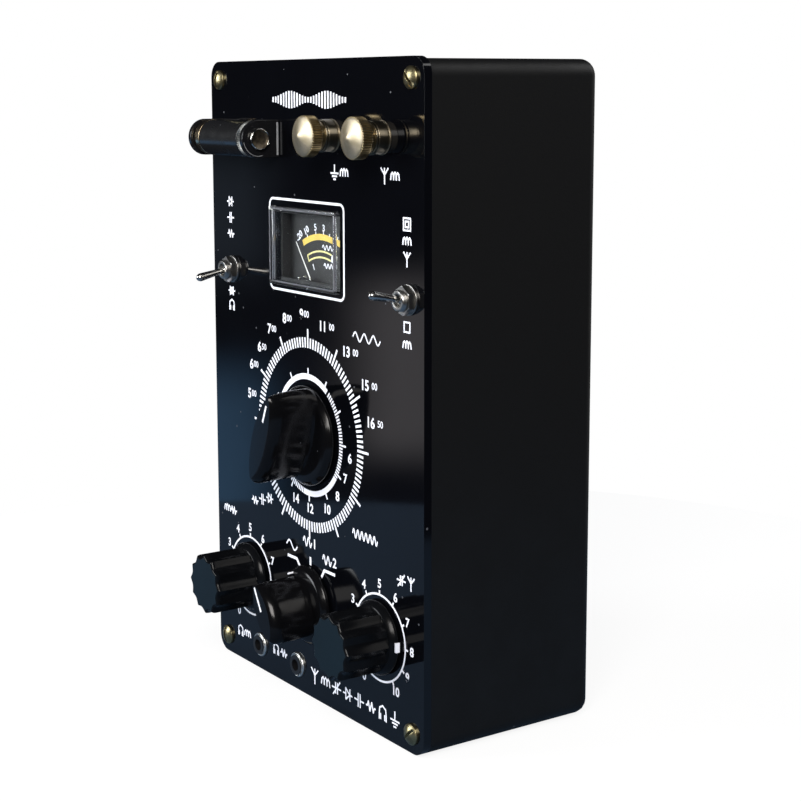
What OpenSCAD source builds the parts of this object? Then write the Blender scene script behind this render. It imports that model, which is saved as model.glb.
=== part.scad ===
// Crystal radio in an upright black instrument box. The frame has +X to the right, +Y to the back
// and +Z up, with its origin in the middle of the box's bottom face. Sizes are in millimetres.

/* [Case and panel] */
// Width of the box and of its front panel
case_w = 114; // [110:1:140]
// Height of the box and of its front panel
case_h = 190; // [184:1:230]
// Depth over the box and the panel together
case_depth = 60; // [54:1:90]
// Thickness of the box's walls
case_wall = 2.6; // [1.8:0.1:2.8]
// Radius of the long corners
corner_r = 6; // [4:0.5:9]
// Radius round the back edges
back_r = 3.5; // [1.5:0.5:4]
// Thickness of the front panel
panel_t = 2.5; // [2:0.1:4]
// Distance of each panel screw from the two nearest edges
screw_inset = 5.6; // [5:0.1:7]
// Radius of a panel screw's head
screw_head_r = 3.05; // [2.4:0.05:3.5]
// Height of a panel screw's head
screw_head_t = 1.8; // [1.2:0.1:2.4]
// Radius of a panel screw's shank
screw_r = 1.45; // [1.2:0.05:1.6]
// Length of a panel screw under its head
screw_length = 12; // [9:1:18]

/* [Tuning] */
// Place of the tuning shaft across the panel
tuning_x = -1; // [-6:0.5:6]
// Distance of the tuning shaft from the top edge
tuning_down = 109.5; // [106:0.5:112]
// Angle of the tuning pointer from the right, seen from the front
tuning_angle = 67; // [10:1:165]
// Radius of the tuning knob's skirt
tuning_skirt_r = 15; // [12:0.5:17]
// Length of the tuning pointer from the shaft to its nose
tuning_nose = 15; // [12:0.5:18]
// Length of the tuning bar from the shaft to its tail
tuning_tail = 14.5; // [11:0.5:16]
// Half the width of the tuning bar at the shaft
tuning_bar_half = 5.8; // [4.5:0.1:7]
// Height of the tuning knob over the panel
tuning_knob_h = 17.3; // [14:0.1:22]
// Radius of the turning vanes
rotor_r = 14; // [11:0.5:15]
// Thickness of a vane
vane_t = 0.7; // [0.5:0.1:1]
// Distance from one turning vane to the next
vane_pitch = 3; // [2.6:0.1:3.6]
// Number of turning vanes
rotor_vanes = 9; // [4:1:10]

/* [Lower controls] */
// Radius of each control shaft
shaft_r = 3; // [2.5:0.1:3.2]
// Height of the lower row of knobs
lower_row_up = 29; // [27:0.5:34]
// Distance of the attenuator from the left edge
attenuator_inset = 20.5; // [17:0.5:22]
// Place of the band switch across the panel
band_x = -1; // [-4:0.5:4]
// Distance of the antenna control from the right edge
antenna_inset = 21.5; // [18:0.5:23]
// Radius of a fluted knob's skirt
fluted_skirt_r = 10.8; // [9:0.1:12]
// Radius of a fluted knob's grip over its ridges
fluted_grip_r = 9.6; // [8:0.1:10.5]
// Radius of a fluted knob's flat face
fluted_face_r = 7.8; // [6:0.1:9]
// Height of a fluted knob over the panel
fluted_h = 17; // [13:0.5:22]
// Number of flutes on a grip
flutes = 12; // [8:1:18]
// Radius of each flute
flute_r = 2.4; // [1.6:0.1:3]
// Depth of each flute
flute_depth = 0.8; // [0.4:0.1:1.2]
// Angle of the band switch's pointer from the right, at its first place
band_angle = 120; // [100:1:150]
// Turn of the band switch from one place to the next
band_step = 30; // [20:1:36]
// Radius of the band knob's skirt
band_skirt_r = 12; // [10:0.5:14]
// Length of the band pointer from the shaft to its nose
band_nose = 12.3; // [9:0.1:14]
// Length of the band pointer's bar from the shaft to its tail
band_tail = 9.8; // [8:0.1:12]
// Half the width of the band pointer's bar
band_bar_half = 5.4; // [4.4:0.1:6.5]
// Height of the band knob over the panel
band_knob_h = 17; // [13:0.5:20]
// Radius of the band switch behind the panel
band_can_r = 12.5; // [10:0.5:14]
// Depth of the band switch's can
band_can_t = 8; // [6:0.5:10]
// Depth of the first wafer behind the panel
wafer_at = 14; // [12:0.5:16]
// Distance from the first wafer to the second
wafer_step = 5; // [4:0.5:7]
// Radius of the attenuator behind the panel
attenuator_can_r = 8.2; // [7:0.1:10]
// Depth of the attenuator behind the panel
attenuator_can_t = 10; // [8:0.5:14]
// Side of the square antenna capacitor
antenna_box = 20; // [16:0.5:24]
// Depth of the antenna capacitor behind the panel
antenna_box_t = 12; // [10:0.5:18]

/* [Meter] */
// Place of the meter across the panel
meter_x = -1.5; // [-5:0.5:5]
// Distance of the meter's middle from the top edge
meter_down = 54.4; // [52:0.2:58]
// Width of the meter's window
meter_w = 35.9; // [32:0.1:40]
// Height of the meter's window
meter_h = 23.2; // [20:0.1:26]
// Reach of the clear cover in front of the panel
cover_out = 2; // [1:0.1:4]
// Wall of the clear cover
cover_wall = 1.2; // [0.8:0.1:1.6]
// Depth of the meter's housing behind the panel
meter_depth = 19; // [16:0.5:26]
// Depth of the dial's face behind the panel's front
dial_depth = 5.2; // [4.6:0.1:7]
// Height of the needle's pivot under the middle of the window
pivot_down = 13.4; // [12:0.1:14]
// Length of the needle from its pivot
needle_length = 18.2; // [14:0.1:20]
// Swing of the needle to each side of upright
needle_half_swing = 36.7; // [30:0.1:40]

/* [Toggle switches] */
// Distance of the left switch from the left edge
left_switch_inset = 12; // [10:0.5:15]
// Distance of the right switch from the right edge
right_switch_inset = 6.8; // [6.8:0.1:10]
// Distance of the switches from the top edge
switch_down = 64; // [62:0.5:68]
// Width of a switch's body
switch_w = 7.4; // [6.4:0.1:7.6]
// Height of a switch's body
switch_h = 13; // [11:0.5:15]
// Depth of a switch's body behind the panel
switch_depth = 9.5; // [8:0.5:12]
// Radius of the threaded neck
switch_neck_r = 2.9; // [2.7:0.1:3.2]
// Reach of the threaded neck in front of the panel
switch_neck_out = 4; // [3.4:0.1:6]
// Distance across the flats of the hexagon nut
switch_nut_af = 8; // [7:0.1:9]
// Thickness of the hexagon nut
switch_nut_t = 2; // [1.4:0.1:2.4]
// Reach of the lever's tip in front of the panel
lever_out = 12.9; // [10:0.1:18]
// Radius of the lever's tip
lever_tip_r = 1.3; // [1:0.05:1.7]
// Lean of the lever to each side
lever_lean = 11.5; // [8:0.5:12]

/* [Terminals] */
// Distance of the two terminals from the top edge
post_down = 21.3; // [19:0.1:26]
// Distance of the antenna terminal from the right edge
aerial_inset = 16; // [13:0.5:20]
// Distance from the ground terminal to the antenna terminal
post_spacing = 24.5; // [20:0.5:28]
// Radius of a terminal's knurled nut
post_nut_r = 5.8; // [4.8:0.1:6.5]
// Reach of a terminal in front of the panel
post_out = 13.7; // [12.5:0.1:17]
// Length of the knurled band
post_rim = 4.2; // [3:0.1:5]
// Radius of the brass collar
post_collar_r = 4.6; // [3.8:0.1:5.4]
// Radius of the threaded stem
post_stem_r = 2; // [1.5:0.1:2.3]
// Travel of the nut when it is undone
post_travel = 3; // [2:0.1:3]

/* [Phone jacks] */
// Height of the jacks above the bottom
jack_up = 8; // [7.2:0.1:10]
// Distance of the left jack from the left edge
left_jack_inset = 26.3; // [23:0.1:31]
// Distance from the left jack to the right jack
jack_spacing = 22.4; // [18:0.1:26]
// Radius of the hole that takes the plug
jack_bore_r = 1.8; // [1.3:0.05:2]
// Radius of the round nut
jack_nut_r = 3.8; // [3.4:0.1:4.6]
// Thickness of the round nut
jack_nut_t = 1.6; // [1:0.1:2.4]
// Depth of a jack behind the panel
jack_depth = 13; // [11:0.5:18]

/* [Detector] */
// Distance of the detector's axis from the top edge
detector_down = 22.9; // [20:0.1:26]
// Height of the detector's axis over the panel
detector_out = 7.1; // [7:0.1:9]
// Distance of the left bracket's outer face from the left edge
detector_inset = 7.7; // [6:0.1:9]
// Distance over the two brackets
detector_span = 33.3; // [28:0.1:38]
// Thickness of a bracket's plate
bracket_t = 1.6; // [1:0.1:2]
// Radius of a bracket's round end
bracket_r = 5.5; // [5:0.1:6]
// Outer radius of the tube
tube_r = 5.3; // [4.6:0.05:5.4]
// Wall of the tube
tube_wall = 1.1; // [0.8:0.1:1.5]
// Radius of the eyelet's flange
eyelet_r = 3.2; // [2.4:0.1:3.8]

/* [Aerial coil] */
// Distance of the ferrite rod from the top edge
rod_down = 33; // [31:0.5:36]
// Distance of the rod's axis in front of the box's back wall
rod_off_back = 13; // [11:0.5:14]
// Radius of the rod
rod_r = 5; // [4:0.1:5.5]
// Length of the rod
rod_length = 92; // [84:1:98]

/* [Boards behind] */
// Distance of the tag board from the left edge
tag_inset = 23; // [20:0.5:27]
// Distance of the tag board from the top edge
tag_down = 82; // [78:1:90]
// Width of the tag board
tag_w = 26; // [22:0.5:30]
// Height of the tag board
tag_h = 11; // [10:0.5:14]
// Distance of the transformer from the right edge
transformer_inset = 19; // [17:0.5:24]
// Distance of the transformer from the top edge
transformer_down = 90; // [80:1:100]
// Width of the transformer's core
core_w = 22; // [18:0.5:26]
// Height of the transformer's core
core_h = 18; // [15:0.5:22]
// Thickness of the transformer's core
core_t = 9; // [7:0.5:12]

/* [Hidden] */

$fn = 64;
slack = 0.05;
seat_gap = 0.3;
over = 1;
black = "#14161a";
satin = "#1b1e22";
chrome = "#c9ccd0";
brass = "#a8905c";
steel = "#a6a9ad";
phenolic = "#6b3f22";
copper = "#b0632c";

panel_y = -case_depth / 2;
inside = -case_depth + case_wall;
tuning_up = case_h - tuning_down;
post_up = case_h - post_down;
meter_up = case_h - meter_down;
switch_up = case_h - switch_down;
detector_up = case_h - detector_down;
rod_up = case_h - rod_down;
left_switch_x = -case_w / 2 + left_switch_inset;
right_switch_x = case_w / 2 - right_switch_inset;
attenuator_x = -case_w / 2 + attenuator_inset;
antenna_x = case_w / 2 - antenna_inset;
aerial_x = case_w / 2 - aerial_inset;
ground_x = aerial_x - post_spacing;
left_jack_x = -case_w / 2 + left_jack_inset;
right_jack_x = left_jack_x + jack_spacing;
detector_left = -case_w / 2 + detector_inset;
detector_right = detector_left + detector_span;
screw_places = [for (sx = [-1, 1], z = [screw_inset, case_h - screw_inset])
    [sx * (case_w / 2 - screw_inset), z]];
screw_slot_angles = [98, 82, 48, -45];

knob_gap = 0.6;
nut_room = 4.4;
bush_r = shaft_r + 1.2;
pot_bush_r = shaft_r + 0.6;
nut_t = 1.9;
bush_out = 2.2;
shaft_in_knob = 13;
pivot_up = meter_up - pivot_down;

// Places a piece on the panel at x and z, with its own +Z pointing out of the panel.
module at_panel(x, z) {
    translate([x, panel_y, z]) rotate([90, 0, 0]) children();
}

// A disc from one height over the panel to another.
module disc(r, low, high) {
    translate([0, 0, low]) cylinder(r = r, h = high - low);
}

// A ring from one height over the panel to another.
module ring(outer, inner, low, high) {
    difference() {
        disc(outer, low, high);
        disc(inner, low - over, high + over);
    }
}

// A bar along the panel's X from one place to another, round its own axis.
module rod_x(r, from, to) {
    translate([from, 0, 0]) rotate([0, 90, 0]) cylinder(r = r, h = to - from);
}

// A hexagon nut with a round hole.
module hex_nut(flats, hole_r, low, high) {
    difference() {
        translate([0, 0, low]) cylinder(d = flats / cos(30), h = high - low, $fn = 6);
        disc(hole_r, low - over, high + over);
    }
}

// A box centred on the axis, from one height over the panel to another.
module block(w, h, low, high) {
    translate([-w / 2, -h / 2, low]) cube([w, h, high - low]);
}

// The outline of the box, with round corners, shrunk by an inset on every side.
module outline(inset) {
    r = max(corner_r - inset, 0.6);
    translate([0, case_h / 2]) union() {
        square([case_w - 2 * inset, case_h - 2 * inset - 2 * r], center = true);
        square([case_w - 2 * inset - 2 * r, case_h - 2 * inset], center = true);
        for (sx = [-1, 1], sy = [-1, 1])
            translate([sx * (case_w / 2 - inset - r), sy * (case_h / 2 - inset - r)]) circle(r);
    }
}

// The box's solid shape: straight sides, round long corners and a round edge along the back.
module case_shape() {
    round_at = -case_depth + back_r;
    long_x = case_w - 2 * corner_r;
    long_z = case_h - 2 * corner_r;
    translate([0, 0, round_at]) linear_extrude(case_depth - back_r - panel_t) outline(0);
    translate([0, 0, -case_depth]) linear_extrude(back_r + over) outline(back_r);
    translate([0, case_h / 2, round_at]) {
        for (s = [-1, 1]) {
            translate([-long_x / 2, s * (case_h / 2 - back_r), 0]) rotate([0, 90, 0])
                cylinder(r = back_r, h = long_x);
            translate([s * (case_w / 2 - back_r), long_z / 2, 0]) rotate([90, 0, 0])
                cylinder(r = back_r, h = long_z);
        }
        for (sx = [-1, 1], sy = [-1, 1]) translate([sx * long_x / 2, sy * long_z / 2, 0])
            rotate_extrude() intersection() {
                translate([corner_r - back_r, 0]) circle(back_r);
                translate([0, -back_r]) square([corner_r, 2 * back_r]);
            }
    }
}

module case() {
    boss_r = screw_r + 2.5;
    color(satin) at_panel(0, 0) {
        difference() {
            case_shape();
            translate([0, 0, inside]) linear_extrude(case_depth) outline(case_wall);
        }
        for (p = screw_places) translate([p[0], p[1], 0])
            ring(boss_r, screw_r + slack, inside, -panel_t);
    }
}

module front_panel() {
    round_holes = concat([
        [tuning_x, tuning_up, bush_r + slack],
        [attenuator_x, lower_row_up, pot_bush_r + slack],
        [band_x, lower_row_up, bush_r + slack],
        [antenna_x, lower_row_up, pot_bush_r + slack],
        [left_switch_x, switch_up, switch_neck_r + slack],
        [right_switch_x, switch_up, switch_neck_r + slack],
        [ground_x, post_up, post_stem_r + 1 + slack],
        [aerial_x, post_up, post_stem_r + 1 + slack],
        [left_jack_x, jack_up, jack_neck_r + slack],
        [right_jack_x, jack_up, jack_neck_r + slack]],
        [for (x = bracket_screw_x) [x, detector_up, bracket_screw_r + slack]],
        [for (p = screw_places) [p[0], p[1], screw_r + 0.25]]);
    color(black) at_panel(0, 0) difference() {
        translate([0, 0, -panel_t]) linear_extrude(panel_t) outline(0);
        for (p = round_holes) translate([p[0], p[1], 0]) disc(p[2], -panel_t - over, over);
        translate([meter_x, meter_up, 0])
            block(meter_w + 2 * slack, meter_h + 2 * slack, -panel_t - over, over);
    }
}

module panel_screws() {
    slot_w = 0.8;
    slot_t = 0.9;
    dome_r = (pow(screw_head_r, 2) + pow(screw_head_t, 2)) / (2 * screw_head_t);
    color(brass) for (i = [0 : 3]) at_panel(screw_places[i][0], screw_places[i][1]) {
        difference() {
            intersection() {
                disc(screw_head_r, 0, screw_head_t);
                translate([0, 0, screw_head_t - 1.3 * dome_r]) sphere(1.3 * dome_r);
            }
            rotate(screw_slot_angles[i]) translate([-screw_head_r - over, -slot_w / 2,
                screw_head_t - slot_t]) cube([2 * (screw_head_r + over), slot_w, slot_t + over]);
        }
        disc(screw_r, -screw_length, 0);
    }
}

// Meter: the clear cover drops into the panel's window, and the housing closes it behind.
flange_t = 0.6;
housing_wall = 1.3;
housing_step = 1.2;
housing_over = 1.6;
housing_w = meter_w + 2 * housing_wall;
housing_top = meter_h / 2 + housing_over;
below_pivot = 7.6;
housing_bottom = pivot_down + below_pivot;
dial_t = 0.5;
needle_t = 0.2;
needle_low = -panel_t - flange_t - seat_gap - needle_t;

// A box set off-centre, from the housing's bottom to its top.
module housing_block(inset, low, high) {
    translate([-housing_w / 2 + inset, -housing_bottom + inset, low])
        cube([housing_w - 2 * inset, housing_top + housing_bottom - 2 * inset, high - low]);
}

module meter_cover() {
    color("#cfd6dc", 0.35) at_panel(meter_x, meter_up) difference() {
        union() {
            block(meter_w, meter_h, -panel_t, cover_out);
            housing_block(0, -panel_t - flange_t, -panel_t);
        }
        block(meter_w - 2 * cover_wall, meter_h - 2 * cover_wall, -panel_t - flange_t - over,
            cover_out - cover_wall);
    }
}

module meter_housing() {
    front = -panel_t - flange_t;
    back = front - meter_depth;
    color("#24262a") at_panel(meter_x, meter_up) difference() {
        housing_block(0, back, front);
        housing_block(housing_wall, -dial_depth - dial_t, front + over);
        housing_block(housing_wall + housing_step, back + housing_wall, front);
    }
}

module meter_dial() {
    rim_w = meter_w - 2 * cover_wall - 4 * slack;
    rim_h = meter_h / 2 - cover_wall - 2 * slack;
    rim_t = 0.7;
    rim_top = -panel_t + seat_gap;
    color("#2b2a28") at_panel(meter_x, meter_up) {
        difference() {
            housing_block(housing_wall + slack, -dial_depth - dial_t, -dial_depth);
            translate([0, -pivot_down, 0]) disc(pivot_r + 0.4, -dial_depth - over, 0);
        }
        for (s = [-1, 1]) translate([s * (rim_w - rim_t) / 2 - rim_t / 2, -rim_h, -dial_depth])
            cube([rim_t, 2 * rim_h, rim_top + dial_depth]);
        translate([-rim_w / 2, rim_h - rim_t, -dial_depth])
            cube([rim_w, rim_t, rim_top + dial_depth]);
    }
}

pivot_r = 0.5;
coil_side = 8;
coil_w = 2.4;
coil_room = 0.5;
bearing_t = 1;
coil_front = -dial_depth - dial_t - 1.2;
coil_back = coil_front - coil_side;
magnet_r = below_pivot - housing_wall - housing_step - slack;
magnet_back = -panel_t - flange_t - meter_depth + housing_wall;

module meter_needle() {
    boss_r = 1.1;
    tail = 3;
    color("#e8e2cf") at_panel(meter_x, pivot_up) {
        ring(boss_r, pivot_r, needle_low, needle_low + needle_t);
        rotate(needle_half_swing) difference() {
            translate([0, 0, needle_low]) linear_extrude(needle_t)
                polygon([[-0.4, -tail], [0.4, -tail], [0.15, needle_length], [-0.15, needle_length]]);
            disc(pivot_r, needle_low - over, 0);
        }
    }
}

module meter_coil() {
    frame_t = 0.8;
    color(copper) at_panel(meter_x, pivot_up) {
        disc(pivot_r, coil_front, needle_low + needle_t);
        disc(pivot_r, coil_back - bearing_t, coil_back);
        rotate(needle_half_swing) translate([0, 0, coil_back]) difference() {
            block(coil_side, coil_w, 0, coil_side);
            block(coil_side - 2 * frame_t, coil_w + over, frame_t, coil_side - frame_t);
        }
    }
}

module meter_magnet() {
    color("#55585c") at_panel(meter_x, pivot_up) {
        ring(magnet_r, coil_side / 2 + coil_room, coil_back - bearing_t, coil_front - coil_room);
        difference() {
            disc(magnet_r, magnet_back, coil_back - bearing_t);
            disc(pivot_r + slack, coil_back - 2 * bearing_t, coil_back);
        }
    }
}

// Tuning: an air-spaced capacitor whose half-round vanes turn between fixed ones.
frame_front = -panel_t - 1.2;
plate_t = 1.4;
end_space = 2.6;
vane_room = (rotor_vanes - 1) * vane_pitch + vane_t + 2 * end_space;
frame_back = frame_front - 2 * plate_t - vane_room;
first_vane = frame_front - plate_t - end_space;
hub_r = shaft_r + 1.2;
stator_r = rotor_r + 4;
stator_bore_r = hub_r + 0.8;
rod_place_r = rotor_r + 2.3;
stator_rod_r = 1;
rod_angles = [135, 225];
insulator_r = 2.4;
frame_side = 2 * stator_r + 2;

// A half disc whose flat side passes through the axis.
module half_disc(r) {
    intersection() {
        circle(r);
        translate([0, -r]) square([r, 2 * r]);
    }
}

// A round-ended bar with bowed sides, a domed back and a sloping nose, pointing along +X.
module bar_grip(nose, tail, half_w, low, top) {
    reach = max(nose, tail) + 1.4;
    bow_r = (reach * reach + half_w * half_w) / (2 * half_w);
    crown_r = 1.4 * half_w;
    nose_run = 2.6;
    intersection() {
        translate([0, 0, low]) linear_extrude(top - low) intersection() {
            translate([0, bow_r - half_w]) circle(bow_r, $fn = 180);
            translate([0, half_w - bow_r]) circle(bow_r, $fn = 180);
        }
        rotate([90, 0, 90]) translate([0, 0, -reach]) linear_extrude(2 * reach) union() {
            translate([0, top - crown_r]) circle(crown_r, $fn = 96);
            translate([-half_w - 1, low - over]) square([2 * half_w + 2, top - crown_r * 0.33 - low]);
        }
        rotate([90, 0, 0]) translate([0, 0, -half_w - 1]) linear_extrude(2 * half_w + 2)
            polygon([[-tail, low - over], [nose, low - over], [nose, low + 2.4],
                [nose - nose_run, top], [-tail + 1.6, top], [-tail, top - 2.8]]);
    }
}

// The low round skirt of a knob, hollow under it to clear the nut.
module knob_skirt(r, hollow_r, high) {
    rotate_extrude() polygon([[hollow_r, knob_gap], [r, knob_gap], [r, knob_gap + 0.7],
        [r - 1.2, high], [0, high], [0, high - 0.6], [hollow_r, high - 0.6]]);
}

module tuning_knob() {
    skirt_h = 3.4;
    color(black) at_panel(tuning_x, tuning_up) difference() {
        union() {
            knob_skirt(tuning_skirt_r, bush_r + nut_room, skirt_h);
            rotate(tuning_angle) bar_grip(tuning_nose, tuning_tail, tuning_bar_half,
                skirt_h - 0.6, tuning_knob_h);
        }
        disc(shaft_r + slack, 0, shaft_in_knob + seat_gap);
    }
}

module tuning_shaft() {
    color(steel) at_panel(tuning_x, tuning_up) disc(shaft_r, frame_back - 1.5, shaft_in_knob);
}

module tuning_rotor() {
    hub_back = first_vane - (rotor_vanes - 1) * vane_pitch - vane_t;
    color("#c3c7c9") at_panel(tuning_x, tuning_up) {
        ring(hub_r, shaft_r, hub_back - 0.8, first_vane + 0.8);
        rotate(tuning_angle) for (i = [0 : rotor_vanes - 1])
            translate([0, 0, first_vane - i * vane_pitch - vane_t]) linear_extrude(vane_t)
                difference() {
                    half_disc(rotor_r);
                    circle(hub_r - 0.5);
                }
    }
}

module tuning_stator() {
    color("#b4b8bb") at_panel(tuning_x, tuning_up) {
        difference() {
            for (i = [0 : rotor_vanes - 2])
                translate([0, 0, first_vane - (i + 0.5) * vane_pitch - vane_t])
                    linear_extrude(vane_t) mirror([1, 0]) half_disc(stator_r);
            disc(stator_bore_r, frame_back, 0);
        }
        for (a = rod_angles) rotate(a) translate([rod_place_r, 0, 0])
            disc(stator_rod_r, frame_back - 0.6, frame_front + 0.6);
    }
}

module stator_insulators() {
    flange = 0.5;
    color("#e9e4d6") at_panel(tuning_x, tuning_up) for (a = rod_angles) rotate(a)
        translate([rod_place_r, 0, 0]) for (z = [frame_front - plate_t, frame_back]) {
            ring(insulator_r - slack, stator_rod_r, z, z + plate_t);
            inner = (z == frame_back) ? z + plate_t : z - flange;
            ring(insulator_r + 0.8, stator_rod_r, inner, inner + flange);
        }
}

module tuning_frame() {
    pillar_r = 1.8;
    pillar_at = frame_side / 2 - 2.6;
    color("#9fa3a7") at_panel(tuning_x, tuning_up) {
        difference() {
            union() {
                block(frame_side, frame_side, frame_front - plate_t, frame_front);
                block(frame_side, frame_side, frame_back, frame_back + plate_t);
                disc(bush_r + 2, frame_front, -panel_t);
                disc(bush_r, -panel_t, bush_out);
            }
            disc(shaft_r + slack, frame_back - over, bush_out + over);
            for (a = rod_angles) rotate(a) translate([rod_place_r, 0, 0])
                disc(insulator_r, frame_back - over, frame_front + over);
        }
        for (sx = [-1, 1], sy = [-1, 1]) translate([sx * pillar_at, sy * pillar_at, 0])
            disc(pillar_r, frame_back + plate_t, frame_front - plate_t);
    }
}

module tuning_nut() {
    color(chrome) at_panel(tuning_x, tuning_up) hex_nut(2 * bush_r + 3.6, bush_r + slack, 0, nut_t);
}

// Fluted knob with a low skirt, a scalloped grip and a rounded front edge.
module fluted_knob() {
    skirt_h = 2.8;
    edge_h = 2.6;
    bulge = fluted_grip_r - fluted_face_r;
    difference() {
        union() {
            knob_skirt(fluted_skirt_r, pot_bush_r + nut_room - 1.1, skirt_h);
            difference() {
                rotate_extrude() union() {
                    translate([0, skirt_h - 0.6])
                        square([fluted_grip_r, fluted_h - edge_h - skirt_h + 0.6]);
                    translate([0, skirt_h]) square([fluted_face_r, fluted_h - skirt_h]);
                    intersection() {
                        translate([fluted_face_r, fluted_h - edge_h])
                            square([bulge, edge_h]);
                        translate([fluted_grip_r - edge_h, fluted_h - edge_h]) circle(edge_h);
                    }
                }
                for (i = [0 : flutes - 1]) rotate(360 * i / flutes)
                    translate([fluted_grip_r - flute_depth + flute_r, 0, 0])
                        disc(flute_r, skirt_h, fluted_h + over);
            }
        }
        disc(shaft_r + slack, 0, shaft_in_knob + seat_gap);
    }
}

// A potentiometer's or switch's front end: the threaded bush with its running bore.
module control_bush(r) {
    ring(r, shaft_r + slack, -panel_t, bush_out);
}

module attenuator_knob() {
    color(black) at_panel(attenuator_x, lower_row_up) fluted_knob();
}

pot_shaft_in = 6;
box_shaft_in = 8;
lug_pitch = 5;
lug_places = [-lug_pitch, 0, lug_pitch];

module attenuator_shaft() {
    color(steel) at_panel(attenuator_x, lower_row_up)
        disc(shaft_r, -panel_t - pot_shaft_in, shaft_in_knob);
}

module attenuator_body() {
    board_w = 13;
    board_t = 1.6;
    board_low = 3;
    lug = [2, 5, 0.8];
    color("#8d9094") at_panel(attenuator_x, lower_row_up) {
        control_bush(pot_bush_r);
        difference() {
            union() {
                disc(attenuator_can_r, -panel_t - attenuator_can_t, -panel_t);
                translate([-board_w / 2, -attenuator_can_r - board_low, -panel_t - board_t - 0.4])
                    cube([board_w, attenuator_can_r, board_t]);
            }
            disc(shaft_r + slack, -panel_t - pot_shaft_in - 0.2, over);
        }
        for (x = lug_places)
            translate([x - lug[0] / 2, -attenuator_can_r - board_low - 4, -panel_t - board_t])
                cube(lug);
    }
}

module attenuator_nut() {
    color(chrome) at_panel(attenuator_x, lower_row_up)
        hex_nut(2 * pot_bush_r + 3, pot_bush_r + slack, 0, nut_t);
}

module band_knob() {
    skirt_h = 3;
    color(black) at_panel(band_x, lower_row_up) difference() {
        union() {
            knob_skirt(band_skirt_r, bush_r + nut_room - 0.6, skirt_h);
            rotate(band_angle) bar_grip(band_nose, band_tail, band_bar_half, skirt_h - 0.6,
                band_knob_h);
        }
        disc(shaft_r + slack, 0, shaft_in_knob + seat_gap);
    }
}

wafer_t = 1.2;
wafer_edge = 1.6;
first_wafer = -panel_t - wafer_at;
second_wafer = first_wafer - wafer_step;
contact_t = 0.8;
contact_w = 4.4;
switch_lug = 2.4;

module band_shaft() {
    rotor_back = second_wafer - wafer_t + 0.2;
    contact_low = first_wafer - wafer_t - 1;
    color(steel) at_panel(band_x, lower_row_up) {
        disc(shaft_r, rotor_back, shaft_in_knob);
        rotate(band_angle) translate([0, 0, contact_low]) linear_extrude(contact_t)
            intersection() {
                circle(band_can_r - 2 * wafer_edge);
                translate([0, -contact_w / 2]) square([band_can_r, contact_w]);
            }
    }
}

module band_switch_body() {
    pillar_r = 1.2;
    lug_w = 1.4;
    color("#9b9ea2") at_panel(band_x, lower_row_up) {
        control_bush(bush_r);
        ring(band_can_r, shaft_r + slack, -panel_t - band_can_t, -panel_t);
        for (w = [first_wafer, second_wafer]) ring(band_can_r, shaft_r + slack, w - wafer_t, w);
        for (s = [-1, 1]) translate([0, s * (band_can_r - wafer_edge), 0])
            disc(pillar_r, second_wafer - wafer_t, -panel_t - band_can_t);
        for (a = [0 : 30 : 330]) rotate(a)
            translate([band_can_r - wafer_edge, -lug_w / 2, first_wafer - contact_t / 2])
                cube([switch_lug, lug_w, contact_t]);
    }
}

module band_nut() {
    color(chrome) at_panel(band_x, lower_row_up)
        hex_nut(2 * bush_r + 3.6, bush_r + slack, 0, nut_t);
}

module antenna_knob() {
    color(black) at_panel(antenna_x, lower_row_up) fluted_knob();
}

module antenna_shaft() {
    color(steel) at_panel(antenna_x, lower_row_up)
        disc(shaft_r, -panel_t - box_shaft_in, shaft_in_knob);
}

module antenna_capacitor() {
    lug = [2, 4, 0.6];
    color("#e6e3da") at_panel(antenna_x, lower_row_up) {
        control_bush(pot_bush_r);
        difference() {
            block(antenna_box, antenna_box, -panel_t - antenna_box_t, -panel_t);
            disc(shaft_r + slack, -panel_t - box_shaft_in - 0.2, over);
        }
        for (x = lug_places)
            translate([x - lug[0] / 2, -antenna_box / 2 - lug[1], -panel_t - antenna_box_t / 2])
                cube(lug);
    }
}

module antenna_nut() {
    color(chrome) at_panel(antenna_x, lower_row_up)
        hex_nut(2 * pot_bush_r + 3, pot_bush_r + slack, 0, nut_t);
}

// Toggle switches: the ball of the lever sits in the threaded neck.
lever_pivot = 2;
ball_r = 1.7;
lever_neck_r = 0.85;
washer_t = 0.7;
lever_tail = 5.4;

module switch_body(x) {
    color("#7c2f28") at_panel(x, switch_up) {
        difference() {
            union() {
                block(switch_w, switch_h, -panel_t - switch_depth, -panel_t);
                for (y = [-4.2, 0, 4.2]) translate([0, y, 0])
                    block(1.6, 0.8, -panel_t - switch_depth - 3.6, -panel_t - switch_depth);
            }
            block(3.6, 7, -panel_t - switch_depth + 1.6, -panel_t + over);
        }
    }
    color(chrome) at_panel(x, switch_up) difference() {
        union() {
            disc(switch_neck_r, -panel_t, switch_neck_out);
            block(switch_w - 1, switch_h - 3, -panel_t - 0.8, -panel_t);
        }
        disc(ball_r + slack, lever_pivot - 2.4, switch_neck_out + over);
        block(2.6, 5, -panel_t - over, lever_pivot - 2.4);
    }
}

module switch_nut(x) {
    color(chrome) at_panel(x, switch_up) difference() {
        union() {
            disc(switch_nut_af / 2 + 0.9, 0, washer_t);
            rotate(30) translate([0, 0, washer_t - 0.1])
                cylinder(d = switch_nut_af / cos(30), h = switch_nut_t + 0.1, $fn = 6);
        }
        disc(switch_neck_r + slack, -over, switch_neck_out);
    }
}

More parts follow.
